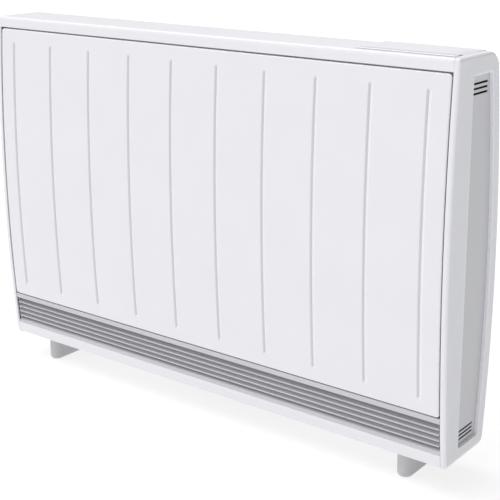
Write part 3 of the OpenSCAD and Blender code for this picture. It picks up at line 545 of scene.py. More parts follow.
def merged(*values: Sequence[float], apart: float = 0.02) -> Array:
    """All the values in order, without those that repeat another.

    Args:
        values: Lists of numbers.
        apart: The least distance between two values that are kept.

    Returns:
        The sorted values.
    """
    ordered = np.sort(np.concatenate([np.atleast_1d(value) for value in values]))
    return ordered[np.concatenate([[True], np.diff(ordered) > apart])]


def smooth_max(first: Array | float, second: Array | float, blend: float) -> Array:
    """The greater of two values, with the corner between them rounded.

    The formula is half of (a + b + root of ((a - b) squared + blend squared)).
    """
    return 0.5 * (first + second + np.sqrt((first - second) ** 2 + blend ** 2))


def smooth_step(value: Array, low: float, high: float) -> Array:
    """A rise from 0 at low to 1 at high, 3 t squared less 2 t cubed."""
    share = np.clip((value - low) / (high - low), 0.0, 1.0)
    return share * share * (3 - 2 * share)


def hump(value: Array | float, middle: float, run: float) -> Array:
    """A bell of height 1: e to the power of minus ((value - middle) / run) squared."""
    return np.exp(-((value - middle) / run) ** 2)


def raised(plan: Array, z: float) -> Array:
    """A plan's points (x, y) at one height."""
    return np.column_stack([plan, np.full(len(plan), z)])


def axes(along: Sequence[float]) -> tuple[Array, ...]:
    """A direction of length 1, and two more that are square to it and to each other."""
    axis = Vector(along).normalized()
    side = axis.orthogonal().normalized()
    return np.array(axis), np.array(side), np.array(axis.cross(side))


def quads(rows: int, columns: int) -> Array:
    """The numbers of the four points of every face in a grid of points."""
    index = np.arange(rows * columns).reshape(rows, columns)
    return np.stack([index[:-1, :-1], index[:-1, 1:], index[1:, 1:], index[1:, :-1]], -1)


@dataclass(frozen=True)
class Fold:
    """How a sheet or moulding turns over at its edge, all round."""

    corner: float
    radius: float
    depth: float
    steps: int = 6
    tuck: float = 0.0

    def distances(self) -> Array:
        """Distances from the flat field outwards, round the fold and down the wall.

        Returns:
            The distances, where 0 is the inner end of the corner's radius.
        """
        start = self.corner - self.radius
        bend = start + np.linspace(0, QUARTER, self.steps + 1) * self.radius
        wall = bend[-1] + (self.depth - self.radius) * np.array([0.06, 0.5, 1.0])
        inner = np.linspace(0, start, 4)[:-1] if start > 0 else np.array([])
        return np.concatenate([inner, bend, wall])

    def coordinates(self, half: float, inside: Sequence[float]) -> Array:
        """One axis of a folded grid, from one edge to the other.

        Args:
            half: Half the size of the finished piece.
            inside: The wanted values within the flat field.

        Returns:
            The nominal coordinates, which run on past the edge where the wall turns down.
        """
        flat = half - self.corner
        outer = flat + self.distances()
        field_values = merged(inside, [-flat, flat])
        field_values = field_values[np.abs(field_values) < flat - 0.01]
        return np.concatenate([-outer[::-1], field_values, outer])

    def over(self, u: Array, v: Array, half_u: float, half_v: float) -> tuple[Array, ...]:
        """Folds a flat grid down all round its edge.

        With (p, q) the distances outside the flat field and m the larger of them, a point lies
        at the distance that m reaches round the fold, in the direction of (p, q). Down the wall
        that distance shrinks by the tuck.

        Args:
            u: Nominal coordinates of the columns.
            v: Nominal coordinates of the rows.
            half_u: Half the finished size along u.
            half_v: Half the finished size along v.

        Returns:
            The two places in the plane, the drop round the fold, the share of the wall that is
            passed from 0 to 1, and the wear level, which lays wear and a painted highlight round
            the fold.
        """
        nominal_v, nominal_u = np.meshgrid(v, u, indexing="ij")
        flat_u, flat_v = half_u - self.corner, half_v - self.corner
        out_u = np.maximum(np.abs(nominal_u) - flat_u, 0)
        out_v = np.maximum(np.abs(nominal_v) - flat_v, 0)
        along = np.maximum(out_u, out_v)
        reach = np.maximum(np.hypot(out_u, out_v), 1e-9)
        start = self.corner - self.radius
        angle = np.clip((along - start) / self.radius, 0, QUARTER)
        radial = np.minimum(along, start) + self.radius * np.sin(angle)
        drop = self.radius * (1 - np.cos(angle))
        wall = (along - start - self.radius * QUARTER) / (self.depth - self.radius)
        radial = radial - self.tuck * np.clip(wall, 0, 1)
        axes = ((nominal_u, flat_u, out_u), (nominal_v, flat_v, out_v))
        place_u, place_v = (
            np.sign(nominal) * (np.minimum(np.abs(nominal), flat) + radial * out / reach)
            for nominal, flat, out in axes)
        # Wear and painted highlight, strongest halfway round the fold.
        wear = np.sin(2 * angle) * (wall < 0.02)
        return place_u, place_v, drop, np.clip(wall, 0, 1), wear


class Solid:
    """A piece under construction: grids of points that are joined into one mesh."""

    def __init__(self) -> None:
        """Starts with no points."""
        self.points: list[Array] = []
        self.faces: list[Array] = []
        self.wear: list[Array] = []
        self.count = 0

    def grid(self, x: Array, y: Array, z: Array, wear: Array | float = 0.0,
             keep: Array | None = None) -> "Solid":
        """Adds a grid of points with a face between every four neighbours.

        Args:
            x: The points' x, in rows and columns.
            y: Their y.
            z: Their z.
            wear: Their wear level: up to 1 for wear and a painted highlight, below 0 for painted
                shade.
            keep: True for each face that is wanted, or None for all of them.

        Returns:
            This solid.
        """
        x, y, z, wear = np.broadcast_arrays(x, y, z, wear)
        faces = quads(*x.shape) + self.count
        if keep is not None:
            faces = faces[keep]
        self.points.append(np.stack([x, y, z], -1).reshape(-1, 3))
        self.faces.append(faces.reshape(-1, 4))
        self.wear.append(np.asarray(wear, float).ravel())
        self.count += x.size
        return self

    def carry(self, section: Array, x: Array, wear: Array | float = 0.0,
              keep: Array | None = None) -> "Solid":
        """Carries a section of points (y, z) along x, with the wear and painted-light level of
        each point.
        """
        return self.grid(x[:, None], section[None, :, 0], section[None, :, 1], wear, keep)

    def loops(self, rings: Sequence[Array], wear: Array | float = 0.0) -> "Solid":
        """Adds closed rings of points, each joined to the next.

        Args:
            rings: Arrays of points, all with the same number of them.
            wear: The wear and painted-light level of each ring.

        Returns:
            This solid.
        """
        stack = np.stack([np.vstack([ring, ring[:1]]) for ring in rings])
        level = np.broadcast_to(np.reshape(wear, (-1, 1)), stack.shape[:2])
        return self.grid(*np.moveaxis(stack, -1, 0), level)

    def close(self, ring: Array) -> "Solid":
        """Closes a flat ring with faces between its two halves."""
        half = len(ring) // 2
        return self.grid(*np.moveaxis(np.stack([ring[:half], ring[::-1][:half]]), -1, 0))

    def lathe(self, profile: Sequence[Sequence[float]], base: Sequence[float],
              along: Sequence[float], segments: int = 32) -> "Solid":
        """Turns a profile about an axis: base + h * along + r * (cos a, sin a) square to it.

        Args:
            profile: Pairs of radius and height along the axis.
            base: The point of the axis at height 0.
            along: The axis.
            segments: The number of sides.

        Returns:
            This solid.
        """
        axis, side, other = axes(along)
        radius, height = np.asarray(profile, float).T
        angle = np.linspace(0, 2 * math.pi, segments + 1)
        ring = np.outer(np.cos(angle), side) + np.outer(np.sin(angle), other)
        ring[-1] = ring[0]
        place = (np.asarray(base, float) + height[:, None, None] * axis
                 + radius[:, None, None] * ring)
        return self.grid(*np.moveaxis(place, -1, 0))

    def extrude(self, section: Array, x0: float, x1: float, wear: Array | float = 0.0,
                step: float = 60.0) -> "Solid":
        """Carries a closed section in depth and height along x, and closes both ends.

        Args:
            section: The section's points, (y, z).
            x0: Where it begins.
            x1: Where it ends.
            wear: The wear and painted-light level of each point of the section.
            step: The greatest length of a face along x.

        Returns:
            This solid.
        """
        closed = np.vstack([section, section[:1]])
        level = np.broadcast_to(wear, len(section))
        level = np.concatenate([level, level[:1]])
        self.carry(closed, spaced(x0, x1, step), level)
        for end in (x0, x1):
            self.close(np.column_stack([np.full(len(section), end), section]))
        return self

    def mesh(self, name: str, outward: Sequence[float] | None) -> bpy.types.Mesh:
        """Makes the mesh in metres, with its doubles merged and its faces outwards.

        Args:
            name: The mesh's name.
            outward: For an open skin, the way it mostly faces; None for closed shells.

        Returns:
            The mesh.
        """
        points = np.vstack(self.points) * MM + [0.0, FRONT_LINE_Y, 0.0]
        mesh = bpy.data.meshes.new(name)
        mesh.from_pydata(points.tolist(), [], np.vstack(self.faces).tolist())
        # The wear level: wear plus painted highlight above 0, and painted shade below 0.
        worn_and_lit = mesh.attributes.new("wear", "FLOAT", "POINT")
        worn_and_lit.data.foreach_set("value", np.concatenate(self.wear).astype(np.float32))
        work = bmesh.new()
        work.from_mesh(mesh)
        bmesh.ops.remove_doubles(work, verts=work.verts, dist=DOUBLES)
        bmesh.ops.dissolve_degenerate(work, edges=work.edges, dist=DOUBLES / 2)
        if outward is None:
            bmesh.ops.recalc_face_normals(work, faces=work.faces)
        else:
            facing = sum((face.normal * face.calc_area() for face in work.faces), Vector())
            if facing.dot(Vector(outward)) < 0:
                bmesh.ops.reverse_faces(work, faces=work.faces)
        work.to_mesh(mesh)
        work.free()
        return mesh


def put(name: str, data: bpy.types.ID) -> bpy.types.Object:
    """Puts a new object with its data in the scene."""
    thing = bpy.data.objects.new(name, data)
    bpy.context.scene.collection.objects.link(thing)
    return thing


class Bench:
    """Where pieces are finished: it knows each node's body and slot, and mixes the finishes."""

    def __init__(self, finishes: dict[str, Finish]) -> None:
        """Makes one material for each of the record's slots.

        Args:
            finishes: The finish of each material slot.
        """
        self.slots = {part["node"]: part["material_slot"] for part in frame["record"]["subparts"]}
        self.bodies = {name: node["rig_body"] for name, node in frame["nodes"].items()}
        self.materials = {slot: finish.material(slot) for slot, finish in finishes.items()}

    def dress_nodes(self) -> None:
        """Gives every CAD node the material of its slot."""
        for name, node in frame["nodes"].items():
            for slot in node.material_slots:
                slot.material = self.materials[self.slots[name]]
            log.info("%s: dressed as %s", name, self.slots[name])

    def finish(self, solid: Solid, name: str, node: str, outward: Sequence[float] | None = None,
               thickness: float = 0.0, bevel: float = 0.0,
               crease: float = 34.0) -> bpy.types.Object:
        """Finishes a solid as the piece that stands for a CAD node.

        Args:
            solid: The piece's points and faces.
            name: The piece's name.
            node: The CAD node that it stands for.
            outward: For an open skin, the way it mostly faces.
            thickness: The wall that an open skin gets behind it.
            bevel: The width by which sharp edges are rounded off.
            crease: The angle in degrees past which an edge is drawn sharp.

        Returns:
            The finished piece.
        """
        mesh = solid.mesh(name, outward)
        mesh.shade_smooth()
        mesh.set_sharp_from_angle(angle=math.radians(crease))
        mesh.materials.append(self.materials[self.slots[node]])
        piece = put(name, mesh)
        if thickness:
            wall = piece.modifiers.new("wall", "SOLIDIFY")
            wall.thickness = thickness * MM
            wall.offset = -1.0
            wall.use_even_offset = True
        if bevel:
            edge = piece.modifiers.new("edge", "BEVEL")
            edge.width = bevel * MM
            edge.segments = 2
            edge.limit_method = "ANGLE"
            edge.angle_limit = BEVEL_FROM
        shading = piece.modifiers.new("shading", "WEIGHTED_NORMAL")
        shading.keep_sharp = True
        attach(piece, self.bodies[node])
        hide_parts(node)
        log.info("%s: %d faces, stands for %s", name, len(mesh.polygons), node)
        return piece


# ---- The heater's form ----


class Side(Enum):
    """The two ends of the heater, as the sign of x."""

    LEFT = -1
    RIGHT = 1


@dataclass(frozen=True)
class Extent:
    """A node's box at rest, in millimetres."""

    low: Array
    high: Array

    @classmethod
    def of(cls, node: str) -> "Extent":
        """The box of a CAD node in the heater's own coordinates."""
        low, high = (np.array(corner, float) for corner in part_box(node))
        seat = np.array([0.0, FRONT_LINE_Y, 0.0])
        return cls((low - seat) / MM, (high - seat) / MM)


@dataclass(frozen=True)
class Form:
    """The curves and faces that the outer pieces share, in millimetres."""

    bow_r: float = 3890.0
    bow_z: float = 422.0
    cap_back_r: float = 2434.0
    cap_back_y: float = 168.0
    cap_back_z: float = 372.0
    casing_z: float = Extent.of("top_casing").high[2]
    casing_back_y: float = Extent.of("top_casing").high[1]
    half_w: float = Extent.of("right_end_cap").high[0]
    cap_x: float = Extent.of("right_end_cap").high[0] - 10.5
    cap_z: float = Extent.of("right_end_cap").low[2]
    panel: Extent = Extent.of("front_panel")
    sheet: float = 1.2

    def front(self, z: Array | float) -> Array:
        """Depth of the bowed front at a height: radius less root of (radius² - rise²)."""
        return self.bow_r - np.sqrt(self.bow_r ** 2 - (z - self.bow_z) ** 2)

    def back(self, z: Array | float) -> Array:
        """Depth of the end caps' bowed back at a height, furthest out at cap_back_z."""
        rise = np.sqrt(self.cap_back_r ** 2 - (z - self.cap_back_z) ** 2)
        return self.cap_back_y - self.cap_back_r + rise


# ---- Casing ----


@dataclass(frozen=True)
class FrontPanel:
    """The bowed front sheet with its ten pressed grooves and the fold round its edge."""

    form: Form
    fold: Fold = Fold(corner=6.0, radius=2.8, depth=10.0, tuck=2.6)
    gap: float = 1.1
    grooves: int = 10
    pitch: float = 105.0
    groove_steep: float = 3.6
    groove_easy: float = 5.0
    groove_depth: float = 2.5
    groove_reach: float = 1.3
    shoulder: float = 0.35
    # Strength of the painted shade on a groove's left slope, and how far past its middle it
    # reaches.
    dust_and_shade: float = 0.5
    shade_to: float = 0.1
    margin: float = 24.0
    runout: float = 6.0

    def groove_lines(self) -> Array:
        """The x of every groove."""
        return (np.arange(self.grooves) - (self.grooves - 1) / 2) * self.pitch

    def columns(self) -> Array:
        """The x of the grid's columns inside the folds: close in a groove, wide between them."""
        reach = self.groove_reach
        across = np.concatenate([np.linspace(-reach, 0, 11) * self.groove_steep,
                                 np.linspace(0, reach, 12) * self.groove_easy])
        wide = np.array([-39.0, -26.0, -13.0, 13.0, 26.0, 39.0, self.pitch / 2])
        near = (self.groove_lines()[:, None] + across).ravel()
        between = (self.groove_lines()[:, None] + wide).ravel()
        return merged(near, between)

    def across_groove(self, x: Array) -> Array:
        """Where each x lies across the nearest groove: -1 at its left edge, 1 at its right."""
        offset = x[..., None] - self.groove_lines()
        near = np.take_along_axis(offset, np.abs(offset).argmin(-1)[..., None], -1)[..., 0]
        return near / np.where(near < 0, self.groove_steep, self.groove_easy)

    def pressing(self, across: Array) -> Array:
        """How deep the grooves are, steep on their left and easy on their right.

        Args:
            across: Places across the nearest groove.

        Returns:
            The depth, groove_depth times (1 - place squared), with soft shoulders.
        """
        return smooth_max(self.groove_depth * (1 - across ** 2), 0.0, self.shoulder)

    def build(self) -> Solid:
        """Presses the grooves into the bowed sheet. They ease in over the run-out at both ends.

        Painted shade darkens a groove's left slope, up to a set share past its middle, and a
        painted highlight brightens its right slope, both in step with its depth.

        Returns:
            The panel's outer skin.
        """
        low, high = self.form.panel.low[2], self.form.panel.high[2]
        half_w, half_h = self.form.panel.high[0] - self.gap, (high - low) / 2 - self.gap
        middle = (high + low) / 2
        end = half_h - self.margin
        runout = np.linspace(end - self.runout, end, 7)
        rows = self.fold.coordinates(half_h, merged(spaced(-end, end, 14.0), runout, -runout))
        columns = self.fold.coordinates(half_w, self.columns())
        x, up, drop, wall, wear = self.fold.over(columns, rows, half_w, half_h)
        z = middle + up
        across = self.across_groove(x)
        pressed = self.pressing(across) * (1 - smooth_step(np.abs(up), end - self.runout, end))
        y = self.form.front(z) + drop + wall * (self.fold.depth - self.fold.radius) + pressed
        # Painted shade on each groove's left slope, painted highlight on its right slope.
        level = np.where(across < self.shade_to, -self.dust_and_shade, 1.0) * pressed / self.groove_depth
        return Solid().grid(x, y, z, wear + level)

    def make(self, bench: Bench) -> None:
        """Finishes the panel."""
        bench.finish(self.build(), "front_panel_sheet", "front_panel", outward=(0, -1, 0),
                     thickness=self.form.sheet, bevel=0.3)


@dataclass(frozen=True)
class TopCasing:
    """The folded sheet over the top: front strip, crease, flat top, rear bend and rear skirt."""

    form: Form
    lid: Extent
    crease_r: float = 4.0
    crease_highlight: float = 0.6
    crease_run: float = 0.5
    rear_r: float = 36.0
    strip_z: float = 706.0
    skirt_z: float = 640.0
    strip_fold: float = 1.3
    strip_return: float = 8.0
    joint: float = 0.05
    lid_gap: float = 0.5
    lid_front_gap: float = 1.7
    hinge_y: float = 123.0
    hinge_r: float = 3.5

    def section(self, front: float, rear: float) -> tuple[Array, Array]:
        """The casing's section from the fold behind the strip, over the top and down the back.

        Args:
            front: Depth of the lid opening's front edge, where a row of points must lie.
            rear: Depth of its rear edge, which lies on the rear bend.

        Returns:
            The section's points (y, z) and their wear level: a painted highlight along the crease.
        """
        form, fold = self.form, self.strip_fold
        y0 = float(form.front(self.strip_z))
        z1 = form.casing_z - self.crease_r
        heights = spaced(self.strip_z + fold, z1, 5.0)
        bend = (form.casing_back_y - self.rear_r, form.casing_z - self.rear_r)
        crease_y = float(form.front(z1)) + self.crease_r
        split = math.degrees(math.acos((rear - bend[0]) / self.rear_r))
        points = np.vstack([
            line((y0 + self.strip_return, self.strip_z), (y0 + fold, self.strip_z), 4),
            arc((y0 + fold, self.strip_z + fold), fold, 270, 180, 6),
            np.column_stack([form.front(heights), heights])[1:-1],
            arc((crease_y, z1), self.crease_r, 180, 90, 9),
            line((crease_y + 2, form.casing_z), (front, form.casing_z), 3),
            line((front, form.casing_z), (bend[0], form.casing_z), 8),
            arc(bend, self.rear_r, 90, split, 5)[:-1],
            arc(bend, self.rear_r, split, 0, 12),
            line((form.casing_back_y, bend[1] - 4), (form.casing_back_y, self.skirt_z), 4),
            [(form.casing_back_y, self.skirt_z)],
        ])
        # Painted highlight along the crease, on its front side.
        reach = np.hypot(points[:, 0] - crease_y, points[:, 1] - z1)
        rubbed_and_lit = self.crease_highlight * hump(reach, self.crease_r, self.crease_run)
        return points, rubbed_and_lit * (points[:, 0] < crease_y + 1)

    def build(self) -> Solid:
        """Bends the sheet and leaves out the faces of the lid opening.

        Returns:
            The casing's outer skin.
        """
        left, right = self.lid.low[0] - self.lid_gap, self.lid.high[0] + self.lid_gap
        front = self.lid.low[1] - self.lid_front_gap
        rear = self.hinge_y + self.hinge_r + self.lid_gap
        points, wear = self.section(front, rear)
        half = self.form.cap_x - self.joint
        x = merged(spaced(-half, half, 40.0), [left, right], apart=3.0)
        x[np.argmin(np.abs(x - left))] = left
        x[np.argmin(np.abs(x - right))] = right
        middle_x = (x[:-1] + x[1:]) / 2
        middle_y, middle_z = (points[:-1] + points[1:]).T / 2
        across = (middle_x > left) & (middle_x < right)
        along = (middle_y > front) & (middle_y < rear) & (middle_z > self.strip_z + 6)
        keep = ~(across[:, None] & along[None, :])
        return Solid().carry(points, x, wear, keep)

    def make(self, bench: Bench) -> None:
        """Finishes the casing."""
        bench.finish(self.build(), "top_casing_sheet", "top_casing", outward=(0, 0, 1),
                     thickness=self.form.sheet, bevel=0.12)


@dataclass(frozen=True)
class EndCap:
    """A moulded end cap: rounded shell, side window with its ledge, and four screw posts."""

    form: Form
    side: Side
    wall: float = 3.2
    edge_r: float = 5.0
    edge_highlight: Pair = (1.5, 1.2)
    corner_r: float = 11.0
    front_r: float = 6.0
    foot_r: float = 8.0
    rear_r: float = 32.0
    heel_r: float = 12.0
    lip_r: float = 1.5
    brim: float = 0.1
    window_y: float = 58.0
    window_z: Pair = (72.0, 695.0)
    window_r: float = 6.0
    window_depth: float = 6.2
    collar: float = 2.2
    rim: float = 24.0
    post_r: float = 5.5
    post_bore: float = 1.95
    post_base: float = 13.9
    centre: Pair = (88.0, 380.0)
    rays: int = 150

    def outline(self, inset: float = 0.0, lift: float = 0.0) -> Array:
        """The cap's outline from the side, finely sampled.

        Args:
            inset: How far it is drawn in all round.
            lift: How far its lower edge is raised.

        Returns:
            Points (y, z) up the front, over the top, down the back and along the lower edge.
        """
        form = self.form
        foot_z = form.cap_z + lift + self.foot_r
        heel_z = form.cap_z + lift + self.heel_r
        front_z, rear_z = form.casing_z - self.front_r, form.casing_z - self.rear_r
        up, down = np.linspace(foot_z, front_z, 90), np.linspace(rear_z, heel_z, 90)
        front_c = (float(form.front(front_z)) + self.front_r, front_z)
        rear_c = (float(form.back(rear_z)) - self.rear_r, rear_z)
        heel_c = (float(form.back(heel_z)) - self.heel_r, heel_z)
        foot_c = (float(form.front(foot_z)) + self.foot_r, foot_z)
        over = arc(front_c, self.front_r - inset, 180, 90, 12)
        bend = arc(rear_c, self.rear_r - inset, 90, 0, 40)
        heel = arc(heel_c, self.heel_r - inset, 0, -90, 16)
        foot = arc(foot_c, self.foot_r - inset, -90, -180, 14)
        return np.vstack([
            np.column_stack([form.front(up) + inset, up])[:-1], over[:-1],
            line(over[-1], bend[0], 30), bend,
            np.column_stack([form.back(down) - inset, down])[1:-1], heel[:-1],
            line(heel[-1], foot[0], 40), foot[:-1],
        ])

    def window(self, widen: float) -> Array:
        """The side window's outline, finely sampled.

        Args:
            widen: How far it is drawn out all round.

        Returns:
            Points (y, z) in the order of the cap's outline.
        """
        y0, r = self.window_y - widen, self.window_r
        z0, z1 = self.window_z[0] - widen, self.window_z[1] + widen
        rim = self.rim - widen
        down = np.linspace(z1 - r, z0 + r, 90)
        rear_top = float(self.form.back(z1 - r)) - rim - r
        rear_low = float(self.form.back(z0 + r)) - rim - r
        return np.vstack([
            line((y0, z0 + r), (y0, z1 - r), 90), arc((y0 + r, z1 - r), r, 180, 90, 10)[:-1],
            line((y0 + r, z1), (rear_top, z1), 20), arc((rear_top, z1 - r), r, 90, 0, 10),
            np.column_stack([self.form.back(down) - rim, down])[1:-1],
            arc((rear_low, z0 + r), r, 0, -90, 10)[:-1],
            line((rear_low, z0), (y0 + r, z0), 20), arc((y0 + r, z0 + r), r, -90, -180, 10)[:-1],
        ])

    def angle(self, points: Array) -> Array:
        """The direction of each point from the cap's centre."""
        return np.arctan2(points[:, 1] - self.centre[1], points[:, 0] - self.centre[0])

    def directions(self) -> Array:
        """The rays on which every ring has a point: close together at all the corners."""
        corners = [self.angle(self.outline()), self.angle(self.window(0.0))]
        even = np.linspace(-math.pi, math.pi, self.rays, endpoint=False)
        return merged(even, corners[0][::3], corners[1][::3], apart=0.004)

    def ring(self, points: Array, x: float) -> Array:
        """A ring at one x: the outline where it crosses each ray.

        Args:
            points: An outline.
            x: The ring's place across the heater, for the right cap.

        Returns:
            The ring's points.
        """
        rays, angle = self.directions(), self.angle(points)
        y = np.interp(rays, angle, points[:, 0], period=2 * math.pi)
        z = np.interp(rays, angle, points[:, 1], period=2 * math.pi)
        return np.column_stack([np.full_like(y, x * self.side.value), y, z])

    def round_off(self, radius: float, depth: float) -> float:
        """How far a round edge is drawn in at a depth: r less root of (r² - (r - depth)²)."""
        return radius - math.sqrt(radius ** 2 - (radius - depth) ** 2) if depth < radius else 0.0

    def shell(self) -> tuple[list[Array], list[float]]:
        """The rings of the shell, from the open side, round the outer edge, over the face into
        the window and back inside.

        Returns:
            The rings and the wear level of each: a painted highlight round the outer edge and the
                window's lip.
        """
        outer, inner = self.form.half_w, self.form.half_w - self.wall
        width = outer - self.form.cap_x
        rings, wear = [self.ring(self.outline(self.brim), self.form.cap_x)], [0.0]
        for depth in width * (np.linspace(1.0, 0.0, 13) ** 2):
            inset = self.round_off(self.edge_r, depth)
            lift = max(self.round_off(self.corner_r, depth) - inset, 0.0)
            start = min(depth, width - self.brim)
            rings.append(self.ring(self.outline(inset, lift), outer - start))
            # Painted highlight round the outer edge.
            wear.append(float(hump(depth, *self.edge_highlight)))
        face, opening = rings[-1], self.ring(self.window(self.lip_r), outer)
        for share in (0.12, 0.5, 0.88):
            rings.append(face * (1 - share) + opening * share)
            wear.append(0.0)
        # The window's lip, with a full painted highlight down to its seat.
        for turn in np.linspace(0, QUARTER, 5):
            sink = self.lip_r * (1 - math.cos(turn))
            rings.append(self.ring(self.window(self.lip_r * (1 - math.sin(turn))), outer - sink))
            wear.append(1.0)
        seat = outer - self.window_depth
        rings += [self.ring(self.window(0.0), seat), self.ring(self.window(self.collar), seat),
                  self.ring(self.window(self.collar), inner),
                  self.ring(self.outline(self.wall), inner),
                  self.ring(self.outline(self.wall), self.form.cap_x), rings[0]]
        return rings, wear + [1.0] + [0.0] * 5

    def build(self) -> Solid:
        """Joins the shell's rings and adds the screw posts behind the wall.

        Returns:
            The cap.
        """
        solid = Solid()
        solid.loops(*self.shell())
        start, end = self.form.half_w - self.post_base, self.form.half_w - self.wall + 0.2
        profile = [(self.post_bore, 0), (self.post_r, 0), (self.post_r, end - start),
                   (self.post_bore, end - start), (self.post_bore, 0)]
        for y, z in CAP_POSTS:
            solid.lathe(profile, (start * self.side.value, y, z), (self.side.value, 0, 0), 24)
        return solid

    def make(self, bench: Bench) -> None:
        """Finishes the cap."""
        name = self.side.name.lower()
        bench.finish(self.build(), f"{name}_cap_moulding", f"{name}_end_cap")


# ---- Outlet ----


@dataclass(frozen=True)
class BottomRail:
    """The rolled rail under the outlet."""

    form: Form
    extent: Extent
    corner_r: float = 8.0
    wall: float = 1.6
    lip: float = 0.8
    lip_return: float = 2.4
    lip_wear_and_highlight: float = 0.2

    def build(self) -> Solid:
        """Carries the rail's section along x: a rolled lip, the face, the bend and the flange.

        Returns:
            The rail's outer skin.
        """
        low, high = self.extent.low, self.extent.high
        bend_z = low[2] + self.corner_r
        bend_y = float(self.form.front(bend_z)) + self.corner_r
        top_y = float(self.form.front(high[2]))
        heights = spaced(high[2] - self.lip, bend_z, 4.0)
        bend = arc((bend_y, bend_z), self.corner_r, 180, 270, 12)
        points = np.vstack([
            [(top_y + self.lip_return, high[2])],
            arc((top_y + self.lip, high[2] - self.lip), self.lip, 90, 180, 5)[:-1],
            np.column_stack([self.form.front(heights), heights])[:-1],
            bend, line(bend[-1] + [2, 0], (high[1], low[2]), 4), [(high[1], low[2])],
        ])
        # Wear and a faint painted highlight along the rolled lip.
        wear = np.where(np.arange(len(points)) < 6, self.lip_wear_and_highlight, 0.0)
        return Solid().carry(points, spaced(low[0], high[0], 60.0), wear)

    def make(self, bench: Bench) -> None:
        """Finishes the rail."""
        bench.finish(self.build(), "bottom_rail_roll", "bottom_rail", outward=(0, -1, -0.5),
                     thickness=self.wall, bevel=0.3)


def rounded_box(half_u: float, half_v: float, radius: float, steps: int = 4) -> Array:
    """The outline of a rectangle with round corners, round its own middle.

    Args:
        half_u: Half its width.
        half_v: Half its height.
        radius: The radius of its corners.
        steps: The number of points on each corner.

    Returns:
        Points (u, v), anticlockwise.
    """
    u, v = half_u - radius, half_v - radius
    corners = ((u, -v, -90), (u, v, 0), (-u, v, 90), (-u, -v, 180))
    return np.vstack([arc((x, y), radius, start, start + 90, steps) for x, y, start in corners])


@dataclass(frozen=True)
class OutletGrille:
    """The grille's frame: upper strip, end posts, sloping apron and the ribs behind the blades."""

    form: Form
    extent: Extent
    strip_z: float = 129.5
    set_back: float = 0.6
    strip_t: float = 1.5
    strip_edge: float = 1.6
    strip_highlight_run: float = 1.2
    return_y: float = 9.0
    post_w: float = 2.4
    post_y: Pair = (5.0, 18.6)
    apron_run: float = 12.4
    apron_rise: float = 10.5
    apron_t: float = 1.4
    apron_curl: float = 0.35
    rib_w: float = 2.0
    rib_pitch: float = 170.0
    rib_y: Pair = (31.0, 35.0)
    rib_foot: float = 6.8

    def sheet(self, solid: Solid, path: Array, thickness: float, wear: Array | float) -> None:
        """Adds a strip of even thickness under a path of points (y, z), along the whole width.

        Args:
            solid: The solid that gets the strip.
            path: The upper or outer side of the strip.
            thickness: The strip's thickness.
            wear: The wear and painted-light level of the outer side's points.
        """
        run = np.gradient(path, axis=0)
        run /= np.linalg.norm(run, axis=1)[:, None]
        inside = path + thickness * np.column_stack([-run[:, 1], run[:, 0]])
        section = np.vstack([path, inside[::-1]])
        level = np.broadcast_to(wear, len(path))
        solid.extrude(section, self.extent.low[0], self.extent.high[0],
                      np.concatenate([level, np.zeros(len(path))]))

    def post(self, solid: Solid, x: float, width: float, y: Pair, z: Pair,
             follow: bool) -> None:
        """Adds an upright bar with round edges.

        Args:
            solid: The solid that gets the bar.
            x: The middle of the bar.
            width: Its width.
            y: Its front and rear depth.
            z: Its lower and upper end.
            follow: True where its front follows the bow.
        """
        outline = rounded_box(width / 2, (y[1] - y[0]) / 2, 0.6 if follow else 0.4)
        rings = []
        for height in spaced(z[0], z[1], 9.0):
            shift = float(self.form.front(height)) if follow else 0.0
            rings.append(raised(outline + [x, shift + (y[0] + y[1]) / 2], height))
        for end in (0, -1):
            middle = np.broadcast_to(rings[end].mean(axis=0), rings[end].shape)
            rings.insert(0 if end == 0 else len(rings), middle)
        solid.loops(rings)

    def build(self) -> Solid:
        """Joins the strip, posts, apron and ribs.

        At a share t of its run the apron has risen by apron_rise times t to the power of
        apron_curl.

        Returns:
            The grille's frame.
        """
        form, low, high = self.form, self.extent.low, self.extent.high
        solid = Solid()
        top, edge = high[2], self.strip_edge
        heights = spaced(top - edge, self.strip_z + edge, 2.0)
        front = form.front(heights) + self.set_back
        strip = np.vstack([
            line((float(form.front(top)) + self.return_y, top), (front[0] + edge, top), 3),
            arc((front[0] + edge, top - edge), edge, 90, 180, 5)[:-1],
            np.column_stack([front, heights]),
            arc((front[-1] + edge, self.strip_z + edge), edge, 180, 245, 5)[1:],
        ])
        # Wear and painted highlight along the strip's lower edge.
        nose = hump(strip[:, 1], self.strip_z, self.strip_highlight_run)
        self.sheet(solid, strip, self.strip_t, nose)
        apron_y = float(form.front(low[2])) + self.set_back
        turn = np.linspace(0, 1, 17) ** 3
        apron = np.column_stack([apron_y + self.apron_run * turn,
                                 low[2] + self.apron_rise * turn ** self.apron_curl])
        self.sheet(solid, apron[::-1], self.apron_t, 0.0)
        for sign in (-1, 1):
            middle = sign * (high[0] - self.post_w / 2)
            self.post(solid, middle, self.post_w, self.post_y, (low[2], top - 0.5), True)
        rib_z = (low[2] + self.rib_foot, top - 1)
        for index in range(-2, 3):
            self.post(solid, index * self.rib_pitch, self.rib_w, self.rib_y, rib_z, False)
        return solid

    def make(self, bench: Bench) -> None:
        """Finishes the grille's frame."""
        bench.finish(self.build(), "grille_moulding", "grille_frame")


